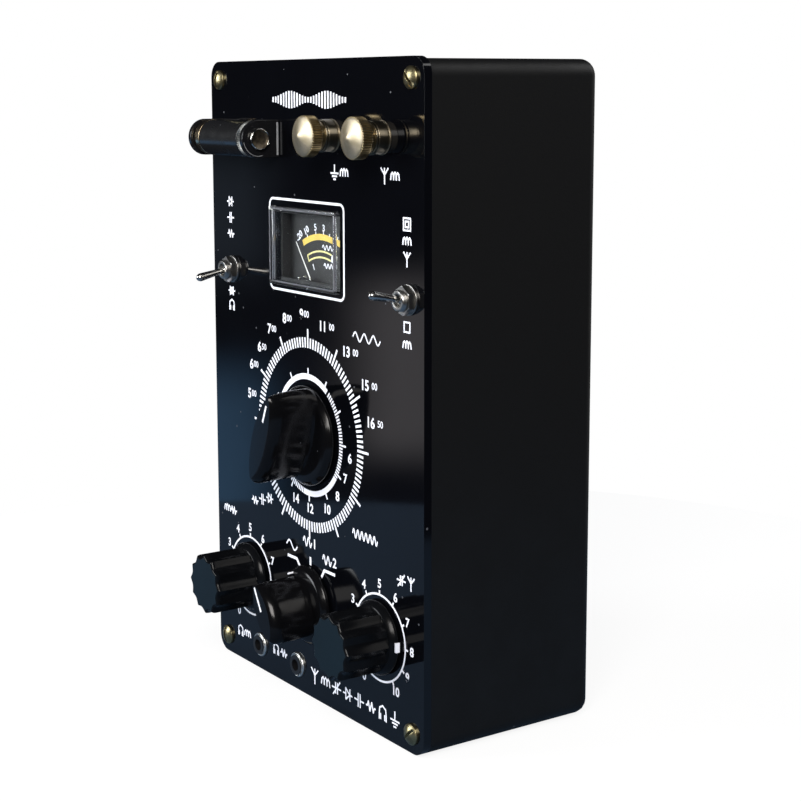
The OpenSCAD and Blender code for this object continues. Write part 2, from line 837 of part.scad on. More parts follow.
// The lever leans down with a lean below 0 and up with one above it.
module switch_lever(x, lean) {
    stick = (lever_out - lever_pivot) / cos(lean) - lever_tip_r;
    color(chrome) at_panel(x, switch_up) translate([0, 0, lever_pivot]) rotate([-lean, 0, 0])
        rotate_extrude() intersection() {
            translate([0, -lever_tail]) square([ball_r, stick + lever_tail + lever_tip_r]);
            union() {
                circle(ball_r);
                translate([0, stick]) circle(lever_tip_r);
                polygon([[0, 0], [lever_neck_r, 0], [lever_tip_r, stick], [0, stick]]);
                translate([0, -lever_tail]) square([0.8, lever_tail]);
            }
        }
}

module left_switch_body() switch_body(left_switch_x);
module left_switch_nut() switch_nut(left_switch_x);
module left_switch_lever() switch_lever(left_switch_x, -lever_lean);
module right_switch_body() switch_body(right_switch_x);
module right_switch_nut() switch_nut(right_switch_x);
module right_switch_lever() switch_lever(right_switch_x, lever_lean);

// Terminals: an insulating bush, a stem with a brass collar, a clamping washer and a knurled nut.
post_base_t = 2.4;
post_clamp_t = 0.6;
stem_behind = 9;
post_cone = 0.7;
rim_low = post_out - post_cone - post_rim;
neck_len = 1.8;
collar_top = rim_low - neck_len - post_clamp_t - 3 * slack;
stem_end = post_out - post_cone - 1.6;
post_hole_r = post_stem_r + 1;
knurls = 36;

module post_bush(x) {
    color(black) at_panel(x, post_up) difference() {
        union() {
            disc(post_collar_r - 0.4, 0, post_base_t);
            disc(post_hole_r, -panel_t, 0);
        }
        disc(post_stem_r + slack, -panel_t - over, post_base_t + over);
    }
}

module post_stem(x) {
    ring_t = 0.5;
    color(brass) at_panel(x, post_up) {
        disc(post_stem_r, -panel_t - stem_behind, stem_end);
        disc(post_collar_r, post_base_t, post_base_t + ring_t);
        disc(post_collar_r - 0.35, post_base_t + ring_t, post_base_t + 2 * ring_t);
        disc(post_collar_r, post_base_t + 2 * ring_t, collar_top);
    }
}

module post_washer(x) {
    color(brass) at_panel(x, post_up)
        ring(post_collar_r - 0.2, post_stem_r + slack, collar_top + slack,
            collar_top + slack + post_clamp_t);
}

module post_nut(x) {
    low = collar_top + post_clamp_t + 2 * slack;
    cap_high = post_out - post_cone;
    notch_r = 0.3;
    color(brass) at_panel(x, post_up) difference() {
        rotate_extrude() polygon([[0, low], [post_collar_r - 0.3, low], [post_collar_r, rim_low - 0.4],
            [post_nut_r - 0.5, rim_low], [post_nut_r, rim_low + 0.4], [post_nut_r, cap_high - 0.3],
            [post_nut_r - 0.3, cap_high], [0, post_out]]);
        disc(post_stem_r + slack, low - over, stem_end + seat_gap);
        for (i = [0 : knurls - 1]) rotate(360 * i / knurls) translate([post_nut_r + 0.1, 0, 0])
            translate([0, 0, rim_low - over]) cylinder(r = notch_r, h = post_rim + 2 * over, $fn = 4);
    }
}

module ground_post_bush() post_bush(ground_x);
module ground_post_stem() post_stem(ground_x);
module ground_post_washer() post_washer(ground_x);
module ground_post_nut() post_nut(ground_x);
module antenna_post_bush() post_bush(aerial_x);
module antenna_post_stem() post_stem(aerial_x);
module antenna_post_washer() post_washer(aerial_x);
module antenna_post_nut() post_nut(aerial_x);

rear_washer_t = 1;
rear_nut_t = 2.5;
rear_nut_af = 7;

module post_rear_washers() {
    color("#3a2b1c") for (x = [ground_x, aerial_x]) at_panel(x, post_up)
        ring(post_collar_r, post_stem_r + slack, -panel_t - rear_washer_t, -panel_t);
}

module post_rear_nuts() {
    lug_t = 0.5;
    lug_r = 3.4;
    lug_w = 2.4;
    lug_reach = 9;
    nut_front = -panel_t - rear_washer_t;
    nut_back = nut_front - rear_nut_t;
    color(brass) for (x = [ground_x, aerial_x]) at_panel(x, post_up) {
        hex_nut(rear_nut_af, post_stem_r + slack, nut_back, nut_front);
        difference() {
            union() {
                disc(lug_r, nut_back - lug_t, nut_back);
                translate([-lug_w / 2, -lug_reach, nut_back - lug_t])
                    cube([lug_w, lug_reach - post_stem_r, lug_t]);
            }
            disc(post_stem_r + slack, nut_back - lug_t - over, 0);
        }
    }
}

// Phone jacks
jack_neck_r = 3;
jack_neck_out = 1.2;

module jack_bodies() {
    body_r = 4.1;
    color("#2a2c30") for (x = [left_jack_x, right_jack_x]) at_panel(x, jack_up) difference() {
        union() {
            disc(jack_neck_r, -panel_t, jack_neck_out);
            disc(body_r, -panel_t - jack_depth, -panel_t);
            for (s = [-1, 1]) translate([s * 2.2 - 0.7, -0.25, -panel_t - jack_depth - 3.5])
                cube([1.4, 0.5, 4]);
        }
        disc(jack_bore_r, -panel_t - jack_depth + 1.5, jack_neck_out + over);
    }
}

module jack_nuts() {
    color(chrome) for (x = [left_jack_x, right_jack_x]) at_panel(x, jack_up)
        ring(jack_nut_r, jack_neck_r + slack, 0, jack_nut_t);
}

// Crystal detector: a black tube that turns between two brackets on an eyelet and a pin.
right_inner = detector_right - bracket_t;
left_inner = detector_left + bracket_t;
ferrule_t = 2.3;
cap_t = 4.3;
axle_r = 1.6;
foot_t = 1.2;
foot_length = 9.6;
bracket_screw_r = 1.2;
bracket_screw_x = [right_inner - foot_length / 2 - 0.6, left_inner + foot_length / 2 + 0.6];
tube_right = right_inner - seat_gap - ferrule_t;
tube_left = left_inner + seat_gap + cap_t;
plug_t = 2;
countersink_r = 2.2;

// Places a piece on the detector's axis, with X as across the panel.
module at_detector() {
    at_panel(0, detector_up) translate([0, 0, detector_out]) children();
}

module bracket(outer, inner) {
    low = min(outer, inner);
    foot_low = (outer > inner) ? inner - foot_length : inner;
    difference() {
        union() {
            translate([0, 0, detector_out]) rod_x(bracket_r, low, low + bracket_t);
            translate([low, -bracket_r, 0]) cube([bracket_t, 2 * bracket_r, detector_out]);
            translate([foot_low, -bracket_r, 0]) cube([foot_length, 2 * bracket_r, foot_t]);
        }
        translate([0, 0, detector_out]) rod_x(axle_r + slack, low - over, low + bracket_t + over);
        for (x = bracket_screw_x) translate([x, 0, 0]) {
            disc(bracket_screw_r + slack, -over, foot_t + over);
            translate([0, 0, foot_t - 0.9]) cylinder(r1 = bracket_screw_r + slack,
                r2 = countersink_r + slack, h = 0.901);
        }
    }
}

module detector_brackets() {
    color(black) at_panel(0, detector_up) {
        bracket(detector_right, right_inner);
        bracket(detector_left, left_inner);
    }
}

bracket_nut_af = 5;
bracket_nut_t = 2;

module bracket_screws() {
    nut_low = -panel_t - bracket_nut_t;
    color(steel) at_panel(0, detector_up) for (x = bracket_screw_x) translate([x, 0, 0]) {
        disc(bracket_screw_r, nut_low - 1, foot_t);
        translate([0, 0, foot_t - 0.9]) cylinder(r1 = bracket_screw_r, r2 = countersink_r, h = 0.9);
        hex_nut(bracket_nut_af, bracket_screw_r, nut_low, -panel_t);
    }
}

module detector_tube() {
    color(black) at_detector() difference() {
        rod_x(tube_r, tube_left, tube_right);
        rod_x(tube_r - tube_wall, tube_left - over, tube_right + over);
    }
}

module detector_ferrules() {
    inner_r = tube_r - tube_wall;
    color(brass) at_detector() {
        difference() {
            union() {
                rod_x(tube_r + 0.1, tube_right, right_inner - seat_gap);
                rod_x(inner_r, tube_right - plug_t, tube_right);
            }
            rod_x(axle_r, tube_right - plug_t - over, right_inner);
        }
        rod_x(tube_r, left_inner + seat_gap, tube_left);
        rod_x(inner_r, tube_left, tube_left + plug_t);
        rod_x(axle_r, detector_left - seat_gap, left_inner + seat_gap);
        rod_x(axle_r + 1, detector_left - seat_gap - 0.8, detector_left - seat_gap);
    }
}

module detector_eyelet() {
    flange_t = 1;
    face = detector_right + seat_gap;
    color(chrome) at_detector() difference() {
        union() {
            rod_x(axle_r, tube_right - plug_t, face);
            rod_x(eyelet_r, face, face + flange_t);
        }
        translate([face + flange_t + 1.6, 0, 0]) sphere(2.5);
    }
}

crystal_right = tube_right - plug_t;
cup_length = 5;
crystal_length = 2.4;

module crystal_cup() {
    color("#8a8f96") at_detector() {
        rod_x(tube_r - tube_wall - 0.6, crystal_right - cup_length, crystal_right);
        rod_x(2.4, crystal_right - cup_length - crystal_length, crystal_right - cup_length);
    }
}

module cat_whisker() {
    tip = crystal_right - cup_length - crystal_length;
    holder = 4;
    point = 2;
    color(brass) at_detector() {
        rod_x(1.5, tube_left + plug_t, tube_left + plug_t + holder);
        rod_x(0.35, tube_left + plug_t + holder, tip - point);
        translate([tip - point, 0, 0]) rotate([0, 90, 0]) cylinder(r1 = 0.35, r2 = 0.1, h = point);
    }
}

// Aerial coil on a ferrite rod, held across the back of the box by two clamps.
rod_at = inside + rod_off_back;
clamp_x = rod_length / 2 - 7;
clamp_w = 6;
former_wall = 0.6;
long_coil = [-30, 6];
short_coil = [13, 26];

module at_rod() {
    at_panel(0, rod_up) translate([0, 0, rod_at]) children();
}

module ferrite_rod() {
    color("#3b3d40") at_rod() rod_x(rod_r, -rod_length / 2, rod_length / 2);
}

module coil_formers() {
    color("#c8b58a") at_rod() for (c = [long_coil, short_coil]) difference() {
        rod_x(rod_r + slack + former_wall, c[0], c[1]);
        rod_x(rod_r + slack, c[0] - over, c[1] + over);
    }
}

module coil_windings() {
    wire_t = 0.9;
    inner = rod_r + slack + former_wall;
    color(copper) at_rod() for (c = [long_coil, short_coil]) difference() {
        rod_x(inner + wire_t, c[0] + 2, c[1] - 2);
        rod_x(inner, c[0], c[1]);
    }
}

module coil_clamps() {
    clamp_h = 2 * rod_r + 6;
    top = rod_r + 3;
    color("#d8d6cc") at_rod() for (s = [-1, 1]) difference() {
        translate([s * clamp_x - clamp_w / 2, -clamp_h / 2, -rod_off_back])
            cube([clamp_w, clamp_h, rod_off_back + top]);
        rod_x(rod_r + slack, s * clamp_x - clamp_w, s * clamp_x + clamp_w);
    }
}

// Tag board with the crystal diode that the left switch can choose, and the phone transformer.
tag_x = -case_w / 2 + tag_inset;
tag_up = case_h - tag_down;
tag_stand = 5;
tag_t = 1.6;
tag_post_in = 3;
tag_post_r = 2.4;
turret_r = 1;
turret_h = 2;
turret_at = 7;
tag_top = inside + tag_stand + tag_t;

module tag_board() {
    color(phenolic) at_panel(tag_x, tag_up) {
        block(tag_w, tag_h, inside + tag_stand, inside + tag_stand + tag_t);
        for (s = [-1, 1]) translate([s * (tag_w / 2 - tag_post_in), 0, 0])
            disc(tag_post_r, inside, inside + tag_stand);
    }
    color(brass) at_panel(tag_x, tag_up) for (s = [-1, 1], y = [-tag_post_in, tag_post_in])
        translate([s * turret_at, y, 0]) disc(turret_r, tag_top, tag_top + turret_h);
}

module diode() {
    lead_r = 0.35;
    bead_r = 1.4;
    bead_half = 3;
    color("#c9763a") at_panel(tag_x, tag_up)
        translate([0, tag_post_in, tag_top + turret_h + lead_r]) {
            rod_x(bead_r, -bead_half, bead_half);
            rod_x(lead_r, -turret_at - turret_r, turret_at + turret_r);
        }
}

core_x = case_w / 2 - transformer_inset;
core_up = case_h - transformer_down;
core_foot_w = 2;
core_foot_h = 6;
core_stand = 4;
bobbin_t = 2.8;

module output_transformer() {
    low = inside + core_stand;
    high = low + core_t;
    color("#6f7276") at_panel(core_x, core_up) {
        block(core_w, core_h, low, high);
        for (s = [-1, 1]) translate([s * (core_w - core_foot_w) / 2, 0, 0])
            block(core_foot_w, core_foot_h, inside, low);
    }
    color("#d6b34c") at_panel(core_x, core_up) for (from = [low - bobbin_t, high])
        block(core_w * 0.6, core_h * 0.72, from, from + bobbin_t);
}

case();
front_panel();
panel_screws();
meter_cover();
meter_housing();
meter_dial();
meter_needle();
meter_coil();
meter_magnet();
tuning_knob();
tuning_shaft();
tuning_rotor();
tuning_stator();
stator_insulators();
tuning_frame();
tuning_nut();
attenuator_knob();
attenuator_shaft();
attenuator_body();
attenuator_nut();
band_knob();
band_shaft();
band_switch_body();
band_nut();
antenna_knob();
antenna_shaft();
antenna_capacitor();
antenna_nut();
left_switch_body();
left_switch_nut();
left_switch_lever();
right_switch_body();
right_switch_nut();
right_switch_lever();
ground_post_bush();
ground_post_stem();
ground_post_washer();
ground_post_nut();
antenna_post_bush();
antenna_post_stem();
antenna_post_washer();
antenna_post_nut();
post_rear_washers();
post_rear_nuts();
jack_bodies();
jack_nuts();
detector_brackets();
bracket_screws();
detector_tube();
detector_ferrules();
detector_eyelet();
crystal_cup();
cat_whisker();
ferrite_rod();
coil_formers();
coil_windings();
coil_clamps();
tag_board();
diode();
output_transformer();
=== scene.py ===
"""Looks of a crystal radio in an upright black instrument box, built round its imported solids."""
import logging
import math
from dataclasses import dataclass, field, replace
from enum import Enum
from typing import Callable, Optional, Sequence

import bmesh
import bpy
from mathutils import Matrix, Vector


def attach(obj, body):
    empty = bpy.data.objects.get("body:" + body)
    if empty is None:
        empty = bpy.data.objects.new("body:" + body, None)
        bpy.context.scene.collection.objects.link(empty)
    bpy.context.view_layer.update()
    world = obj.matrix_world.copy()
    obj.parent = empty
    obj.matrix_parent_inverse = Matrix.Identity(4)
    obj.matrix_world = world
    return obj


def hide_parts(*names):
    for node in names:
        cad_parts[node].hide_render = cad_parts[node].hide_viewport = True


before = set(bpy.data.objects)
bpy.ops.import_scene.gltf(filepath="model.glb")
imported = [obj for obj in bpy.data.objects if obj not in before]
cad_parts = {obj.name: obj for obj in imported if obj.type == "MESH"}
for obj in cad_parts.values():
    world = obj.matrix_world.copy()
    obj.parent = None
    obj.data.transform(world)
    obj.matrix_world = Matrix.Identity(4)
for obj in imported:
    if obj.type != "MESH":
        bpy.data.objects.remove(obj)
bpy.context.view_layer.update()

MM = 0.001
PANEL_Y = -30.0
MIDDLE_Z = 95.0
FULL_TURN = 2 * math.pi
MERGE = 1e-4
NEAR = 2e-3
SHADE_LIMIT = math.radians(38)
DIGIT_SHARE = 0.69
RING_SCALE = 22000.0
Colour = tuple[float, float, float]
Place = tuple[float, float, float]
Point = tuple[float, float]
Section = tuple[float, ...]
Profile = Sequence[tuple[float, ...]]
Outline = Callable[[Section, float], Place]
Socket = bpy.types.NodeSocket
log = logging.getLogger("crystal_radio")


def on_panel(x: float, z: float, spin: float = 0.0, out: float = 0.0) -> Matrix:
    """Places a shape on the panel with its own +Z pointing out of the panel.

    Args:
        x: place across the panel in millimetres.
        z: height above the bottom in millimetres.
        spin: turn round the shape's own axis in degrees.
        out: height over the panel in millimetres.

    Returns:
        The placing matrix, in millimetres.
    """
    return (Matrix.Translation((x, PANEL_Y - out, z)) @ Matrix.Rotation(math.pi / 2, 4, "X")
            @ Matrix.Rotation(math.radians(spin), 4, "Z"))


def along_panel(x: float, out: float, z: float) -> Matrix:
    """Places a shape in millimetres, out from the panel, with its own +Z along the panel's +X."""
    return Matrix.Translation((x, PANEL_Y - out, z)) @ Matrix.Rotation(math.pi / 2, 4, "Y")


def polar(middle: Point, radius: float, angle: float) -> Point:
    """Gives the point at a radius and an angle in degrees round a middle."""
    turn = math.radians(angle)
    return middle[0] + radius * math.cos(turn), middle[1] + radius * math.sin(turn)


def fluted(dip: Callable[[float], float]) -> Outline:
    """Makes an outline whose radius dips, for sections of height, radius and depth.

    Args:
        dip: gives the share of the depth taken off at an angle.

    Returns:
        The outline, for Shape.loft.
    """
    def outline(section: Section, turn: float) -> Place:
        """Gives a point of a section's outline.

        Args:
            section: its height, radius and depth.
            turn: the angle round it.

        Returns:
            The point.
        """
        height, radius, depth = section
        r = radius - depth * dip(turn)
        return r * math.cos(turn), r * math.sin(turn), height
    return outline


def knurled(count: int) -> Outline:
    """Makes the outline of a knurl with a number of ridges."""
    return fluted(lambda turn: 0.5 - 0.5 * math.cos(count * turn))


def linked(name: str, data: bpy.types.ID) -> bpy.types.Object:
    """Makes an object of some data and links it in the scene.

    Args:
        name: the object's name.
        data: its mesh, curve, light or camera.

    Returns:
        The object.
    """
    made = bpy.data.objects.new(name, data)
    bpy.context.scene.collection.objects.link(made)
    return made


class Effect(Enum):
    """Surface effects that several finishes share."""

    PATCHES = "soft_patches"
    GRAIN = "fine_grain"
    DUST = "dust_specks"
    RINGS = "turned_rings"


class Graph:
    """A node tree with short calls for the nodes that the finishes use."""

    def __init__(self, tree: bpy.types.NodeTree) -> None:
        """Wraps a node tree."""
        self.tree = tree

    def feed(self, node: bpy.types.Node, values: dict) -> None:
        """Links or sets inputs of a node.

        Args:
            node: the node.
            values: a socket to link or a plain value to set, by each input's name or number.
        """
        for key, value in values.items():
            if isinstance(value, Socket):
                self.tree.links.new(value, node.inputs[key])
            else:
                node.inputs[key].default_value = value

    def add(self, kind: str, values: Optional[dict] = None, **settings: object) -> bpy.types.Node:
        """Adds a node.

        Args:
            kind: the node's type name without its ShaderNode start.
            values: sockets or plain values for its inputs, by name or number.
            settings: properties to set on it before its inputs.

        Returns:
            The new node.
        """
        node = self.tree.nodes.new("ShaderNode" + kind)
        for key, value in settings.items():
            setattr(node, key, value)
        self.feed(node, values or {})
        return node

    def math(self, operation: str, *values: object, clamp: bool = False) -> Socket:
        """Adds a math node for an operation on sockets or numbers, and gives its result."""
        return self.add("Math", dict(enumerate(values)), operation=operation,
                        use_clamp=clamp).outputs[0]

    def ramp(self, value: Socket, low: float, high: float, start: float = 0.0,
             end: float = 1.0) -> Socket:
        """Maps a value smoothly from one range to another.

        Args:
            value: the socket to map.
            low: the value that gives start.
            high: the value that gives end.
            start: the result at low.
            end: the result at high.

        Returns:
            The result's socket.
        """
        return self.add("MapRange", {"Value": value, "From Min": low, "From Max": high,
                                     "To Min": start, "To Max": end},
                        interpolation_type="SMOOTHSTEP").outputs["Result"]

    def blend(self, share: object, first: object, second: object) -> Socket:
        """Mixes two colours, with the share of the second, and gives the result's socket."""
        return self.add("Mix", {0: share, 6: first, 7: second}, data_type="RGBA").outputs[2]

    def noise(self, vector: Socket, scale: object, detail: float) -> Socket:
        """Adds a noise texture of a scale in turns a metre, and gives its value's socket."""
        return self.add("TexNoise", {"Vector": vector, "Scale": scale, "Detail": detail}).outputs[0]

    def place(self, effect: Effect, where: Socket, scale: float, **more: float) -> Socket:
        """Places a shared effect, with its scale in turns a metre, and gives its output."""
        return self.add("Group", {"Vector": where, "Scale": scale, **more},
                        node_tree=EFFECTS.get(effect)).outputs[0]

    def end_with(self, share: Socket, first: bpy.types.Node, second: bpy.types.Node) -> None:
        """Ends a material with a mix of two shaders, with the share of the second."""
        mixed = self.add("MixShader", {0: share, 1: first.outputs[0], 2: second.outputs[0]})
        self.feed(self.tree.nodes["Material Output"], {"Surface": mixed.outputs[0]})


class EffectLibrary:
    """Builds each shared effect's node group once."""

    def __init__(self) -> None:
        """Starts with no group built."""
        self.groups: dict[Effect, bpy.types.NodeTree] = {}

    def get(self, effect: Effect) -> bpy.types.NodeTree:
        """Gives an effect's node group.

        Args:
            effect: the wanted effect.

        Returns:
            Its node group, built on the first call.
        """
        if effect not in self.groups:
            self.groups[effect] = self.build(effect)
        return self.groups[effect]

    def build(self, effect: Effect) -> bpy.types.NodeTree:
        """Builds an effect's group, with a vector, some numbers and one output value.

        Args:
            effect: the effect.

        Returns:
            The node group.
        """
        draw, output, numbers = {
            Effect.PATCHES: (self.patches, "Mask", {"Scale": 60.0}),
            Effect.GRAIN: (self.grain, "Height", {"Scale": 3000.0}),
            Effect.DUST: (self.dust, "Mask", {"Scale": 500.0, "Amount": 0.2}),
            Effect.RINGS: (self.rings, "Height", {"Scale": 9000.0})}[effect]
        tree = bpy.data.node_groups.new(effect.value, "ShaderNodeTree")
        sockets = tree.interface
        sockets.new_socket(name="Vector", in_out="INPUT", socket_type="NodeSocketVector")
        for key, value in numbers.items():
            sockets.new_socket(name=key, in_out="INPUT",
                               socket_type="NodeSocketFloat").default_value = value
        sockets.new_socket(name=output, in_out="OUTPUT", socket_type="NodeSocketFloat")
        inputs = tree.nodes.new("NodeGroupInput").outputs
        result = draw(Graph(tree), inputs["Vector"], *(inputs[key] for key in numbers))
        tree.links.new(result, tree.nodes.new("NodeGroupOutput").inputs[output])
        return tree

    @staticmethod
    def patches(graph: Graph, vector: Socket, scale: Socket) -> Socket:
        """Draws broad soft patches, as handling and moulding leave them."""
        return graph.ramp(graph.noise(vector, scale, 4.0), 0.3, 0.7)

    @staticmethod
    def grain(graph: Graph, vector: Socket, scale: Socket) -> Socket:
        """Draws a fine moulded or blasted grain."""
        cells = graph.add("TexVoronoi", {"Vector": vector, "Scale": scale}, feature="SMOOTH_F1")
        return graph.math("ADD", graph.noise(vector, scale, 2.0), cells.outputs["Distance"])

    @staticmethod
    def dust(graph: Graph, vector: Socket, scale: Socket, amount: Socket) -> Socket:
        """Draws sparse small specks of dust.

        Args:
            graph: the group's graph.
            vector: the coordinates.
            scale: the cells of one speck at most, in turns a metre.
            amount: the share of cells that hold a speck.

        Returns:
            The specks' mask.
        """
        cells = graph.add("TexVoronoi", {"Vector": vector, "Scale": scale})
        chance, spread = graph.add("SeparateColor", {0: cells.outputs["Color"]}).outputs[:2]
        least, more = 0.04, 0.16
        size = graph.math("MULTIPLY_ADD", spread, more, least)
        return graph.math("MULTIPLY", graph.math("LESS_THAN", chance, amount),
                          graph.math("LESS_THAN", cells.outputs["Distance"], size))

    @staticmethod
    def rings(graph: Graph, vector: Socket, scale: Socket) -> Socket:
        """Draws the fine rings that a lathe leaves round the vector's Y axis.

        Args:
            graph: the group's graph.
            vector: the coordinates.
            scale: the rings' scale, in turns a metre.

        Returns:
            The rings' height.
        """
        x, _, z = graph.add("SeparateXYZ", {0: vector}).outputs
        radius = graph.math("SQRT", graph.math("ADD", graph.math("MULTIPLY", x, x),
                                               graph.math("MULTIPLY", z, z)))
        wave = graph.math("SINE", graph.math("MULTIPLY", radius, scale))
        place = graph.add("CombineXYZ", {0: radius})
        return graph.math("MULTIPLY_ADD", wave, 0.3, graph.noise(place.outputs[0], scale, 2.0))


EFFECTS = EffectLibrary()


def principled(name: str) -> tuple[bpy.types.Material, Graph, bpy.types.Node]:
    """Starts a material.

    Args:
        name: its name.

    Returns:
        The material, its graph and its surface shader.
    """
    made = bpy.data.materials.new(name)
    made.use_nodes = True
    return made, Graph(made.node_tree), made.node_tree.nodes["Principled BSDF"]


@dataclass(frozen=True)
class Finish:
    """A surface finish, with sizes in millimetres, and the record's slot if named otherwise."""

    name: str
    colour: Colour
    rough: float
    metal: float = 0.0
    tone: float = 0.12
    spread: float = 0.05
    patch: float = 14.0
    grain: float = 0.0
    grain_size: float = 0.3
    dust: float = 0.0
    dust_size: float = 1.6
    shine: float = 0.5
    rings: float = 0.0
    stretch: Place = (1.0, 1.0, 1.0)
    accent: Optional[Colour] = None
    speck: Colour = (0.12, 0.125, 0.14)
    slot: str = ""

    def material(self, centre: Place = (0.0, 0.0, 0.0)) -> bpy.types.Material:
        """Gives the finish's material.

        Args:
            centre: where a turned pattern has its axis, in millimetres.

        Returns:
            The material, built on the first call for that centre.
        """
        name, axis = "dressed_" + self.name, (0.0, 0.0, 0.0)
        if self.rings:
            name, axis = name + "_%d_%d" % (centre[0], centre[2]), centre
        return bpy.data.materials.get(name) or self.build(name, axis)

    def build(self, name: str, centre: Place) -> bpy.types.Material:
        """Builds the node tree of the finish.

        Args:
            name: the material's name.
            centre: where a turned pattern has its axis, in millimetres.

        Returns:
            The new material.
        """
        made, graph, surface = principled(name)
        where = graph.add("Mapping", {"Vector": graph.add("TexCoord").outputs["Object"],
                                      "Location": [-MM * c for c in centre]}).outputs["Vector"]
        patches = graph.place(Effect.PATCHES, where, 1 / (self.patch * MM))
        second = self.accent or tuple(c * (1 - self.tone) for c in self.colour)
        colour = graph.blend(patches, (*self.colour, 1), (*second, 1))
        rough = graph.math("MULTIPLY_ADD", patches, self.spread, self.rough - self.spread / 2)
        if self.dust:
            specks = graph.place(Effect.DUST, where, 1 / (self.dust_size * MM), Amount=self.dust)
            colour = graph.blend(graph.math("MULTIPLY", specks, 0.5), colour, (*self.speck, 1))
            rough = graph.math("MULTIPLY_ADD", specks, 0.4, rough, clamp=True)
        graph.feed(surface, {"Base Color": colour, "Roughness": rough, "Metallic": self.metal,
                             "Specular IOR Level": self.shine})
        self.relief(graph, surface, where)
        return made

    def relief(self, graph: Graph, surface: bpy.types.Node, where: Socket) -> None:
        """Feeds the surface's normal from its turned rings, or else from its grain.

        Args:
            graph: the material's graph.
            surface: its surface shader.
            where: the coordinates' socket.
        """
        if self.rings:
            height = graph.place(Effect.RINGS, where, RING_SCALE)
        elif self.grain:
            along = graph.add("Mapping", {"Vector": where, "Scale": self.stretch})
            height = graph.place(Effect.GRAIN, along.outputs["Vector"], 1 / (self.grain_size * MM))
        else:
            return
        bump = graph.add("Bump", {"Height": height, "Distance": (self.rings or self.grain) * MM})
        graph.feed(surface, {"Normal": bump.outputs["Normal"]})


@dataclass(frozen=True)
class ClearFinish:
    """Clear moulded plastic that lets lamplight through to what is behind it."""

    name: str = "clear_plastic"
    tint: Colour = (0.93, 0.95, 0.96)
    haze_tint: Colour = (0.97, 0.98, 0.98)
    shadow_tint: Colour = (0.9, 0.92, 0.93)
    slot: str = ""

    def material(self, _centre: Place) -> bpy.types.Material:
        """Builds the clear material, for the one piece that has it.

        Args:
            _centre: a turned pattern's axis, which this finish doesn't have.

        Returns:
            The material.
        """
        made, graph, surface = principled("dressed_" + self.name)
        haze = graph.place(Effect.PATCHES, graph.add("TexCoord").outputs["Object"], 90.0)
        graph.feed(surface, {"Transmission Weight": 1.0, "IOR": 1.45, "Base Color": graph.blend(
            haze, (*self.tint, 1), (*self.haze_tint, 1)),
            "Roughness": graph.math("MULTIPLY_ADD", haze, 0.03, 0.01)})
        through = graph.add("BsdfTransparent", {"Color": (*self.shadow_tint, 1)})
        graph.end_with(graph.add("LightPath").outputs["Is Shadow Ray"], surface, through)
        return made


CABINET = Finish("cabinet_black", (0.0052, 0.0053, 0.0056), 0.45, tone=0.25, spread=0.1,
                 grain=0.02, grain_size=0.35, dust=0.08, dust_size=2.0, shine=0.2)
PANEL = Finish("panel_black", (0.0018, 0.002, 0.003), 0.07, tone=0.2, spread=0.03, patch=30,
               dust=0.05, dust_size=2.6, shine=0.42)
KNOB = Finish("knob_black", (0.003, 0.003, 0.0035), 0.15, tone=0.25, grain=0.002,
              grain_size=0.5, dust=0.05, dust_size=1.8, shine=0.2)
FLUTED = replace(KNOB, name="fluted_black", colour=(0.003, 0.0033, 0.004), rough=0.2, spread=0.06,
                 shine=0.12, slot="knob_black")
# Painted reflection: the knob's own black moulding, with a bluish tint in its colour that stands in
# for the surroundings it reflects.
KNOB_FACE_REFLECTION = Finish("knob_face_painted_reflection", (0.004, 0.009, 0.013), 0.3, tone=0.15, grain=0.004,
                   grain_size=0.2, shine=0.2, slot="knob_black")
SCREW_BRASS = Finish("screw_brass", (0.36, 0.31, 0.17), 0.34, 1.0, accent=(0.2, 0.17, 0.1),
                     patch=2.5, grain=0.01, grain_size=0.4)
POST_BRASS = Finish("post_brass", (0.5, 0.43, 0.32), 0.4, 1.0, accent=(0.36, 0.3, 0.2),
                    patch=3, rings=0.02)
POST_KNURL = Finish("post_knurl", (0.54, 0.44, 0.26), 0.34, 1.0, accent=(0.32, 0.25, 0.14),
                    patch=2, slot="post_brass")
COLLAR_BRASS = Finish("collar_brass", (0.3, 0.26, 0.19), 0.3, 1.0, accent=(0.18, 0.16, 0.12),
                      patch=4, grain=0.004, grain_size=0.5, slot="post_brass")
POST_BLACK = Finish("post_black", (0.012, 0.011, 0.01), 0.25, dust=0.04)
CHROME = Finish("nut_chrome", (0.66, 0.66, 0.65), 0.16, 1.0, tone=0.14, patch=3, grain=0.004,
                grain_size=0.6)
JACK_METAL = Finish("jack_nickel", (0.8, 0.8, 0.78), 0.34, 1.0, tone=0.3, patch=1.6, grain=0.01,
                    grain_size=0.5, slot="nut_chrome")
SWITCH_NUT = Finish("switch_nickel", (0.46, 0.45, 0.43), 0.3, 1.0, tone=0.25, patch=2.5,
                    grain=0.006, grain_size=0.4, slot="nut_chrome")
LEVER_METAL = Finish("switch_metal", (0.56, 0.55, 0.53), 0.24, 1.0, tone=0.2, patch=3)
SWITCH_RED = Finish("switch_housing", (0.2, 0.03, 0.025), 0.45, patch=3, grain=0.004,
                    slot="can_steel")
BRACKET = Finish("bracket_black", (0.006, 0.006, 0.007), 0.2, tone=0.2, grain=0.006,
                 grain_size=0.5, dust=0.04, dust_size=1.5)
# Painted highlight: bright metal strips that stand in for the light caught by the black bracket's
# edges.
BRACKET_HIGHLIGHT = Finish("bracket_painted_highlight", (0.55, 0.56, 0.58), 0.28, 0.6, patch=3, slot="bracket_black")
TUBE = Finish("tube_black", (0.009, 0.009, 0.0095), 0.24, tone=0.2, spread=0.08, patch=6,
              grain=0.004, grain_size=0.4, dust=0.03, dust_size=1.4)
FERRULE = Finish("ferrule_brass", (0.62, 0.5, 0.34), 0.22, 1.0, accent=(0.4, 0.31, 0.2), patch=3)
KNURL_GREY = Finish("knurl_grey", (0.42, 0.42, 0.4), 0.36, 1.0, accent=(0.2, 0.19, 0.17),
                    patch=1.2, grain=0.02, grain_size=0.4, slot="ferrule_brass")
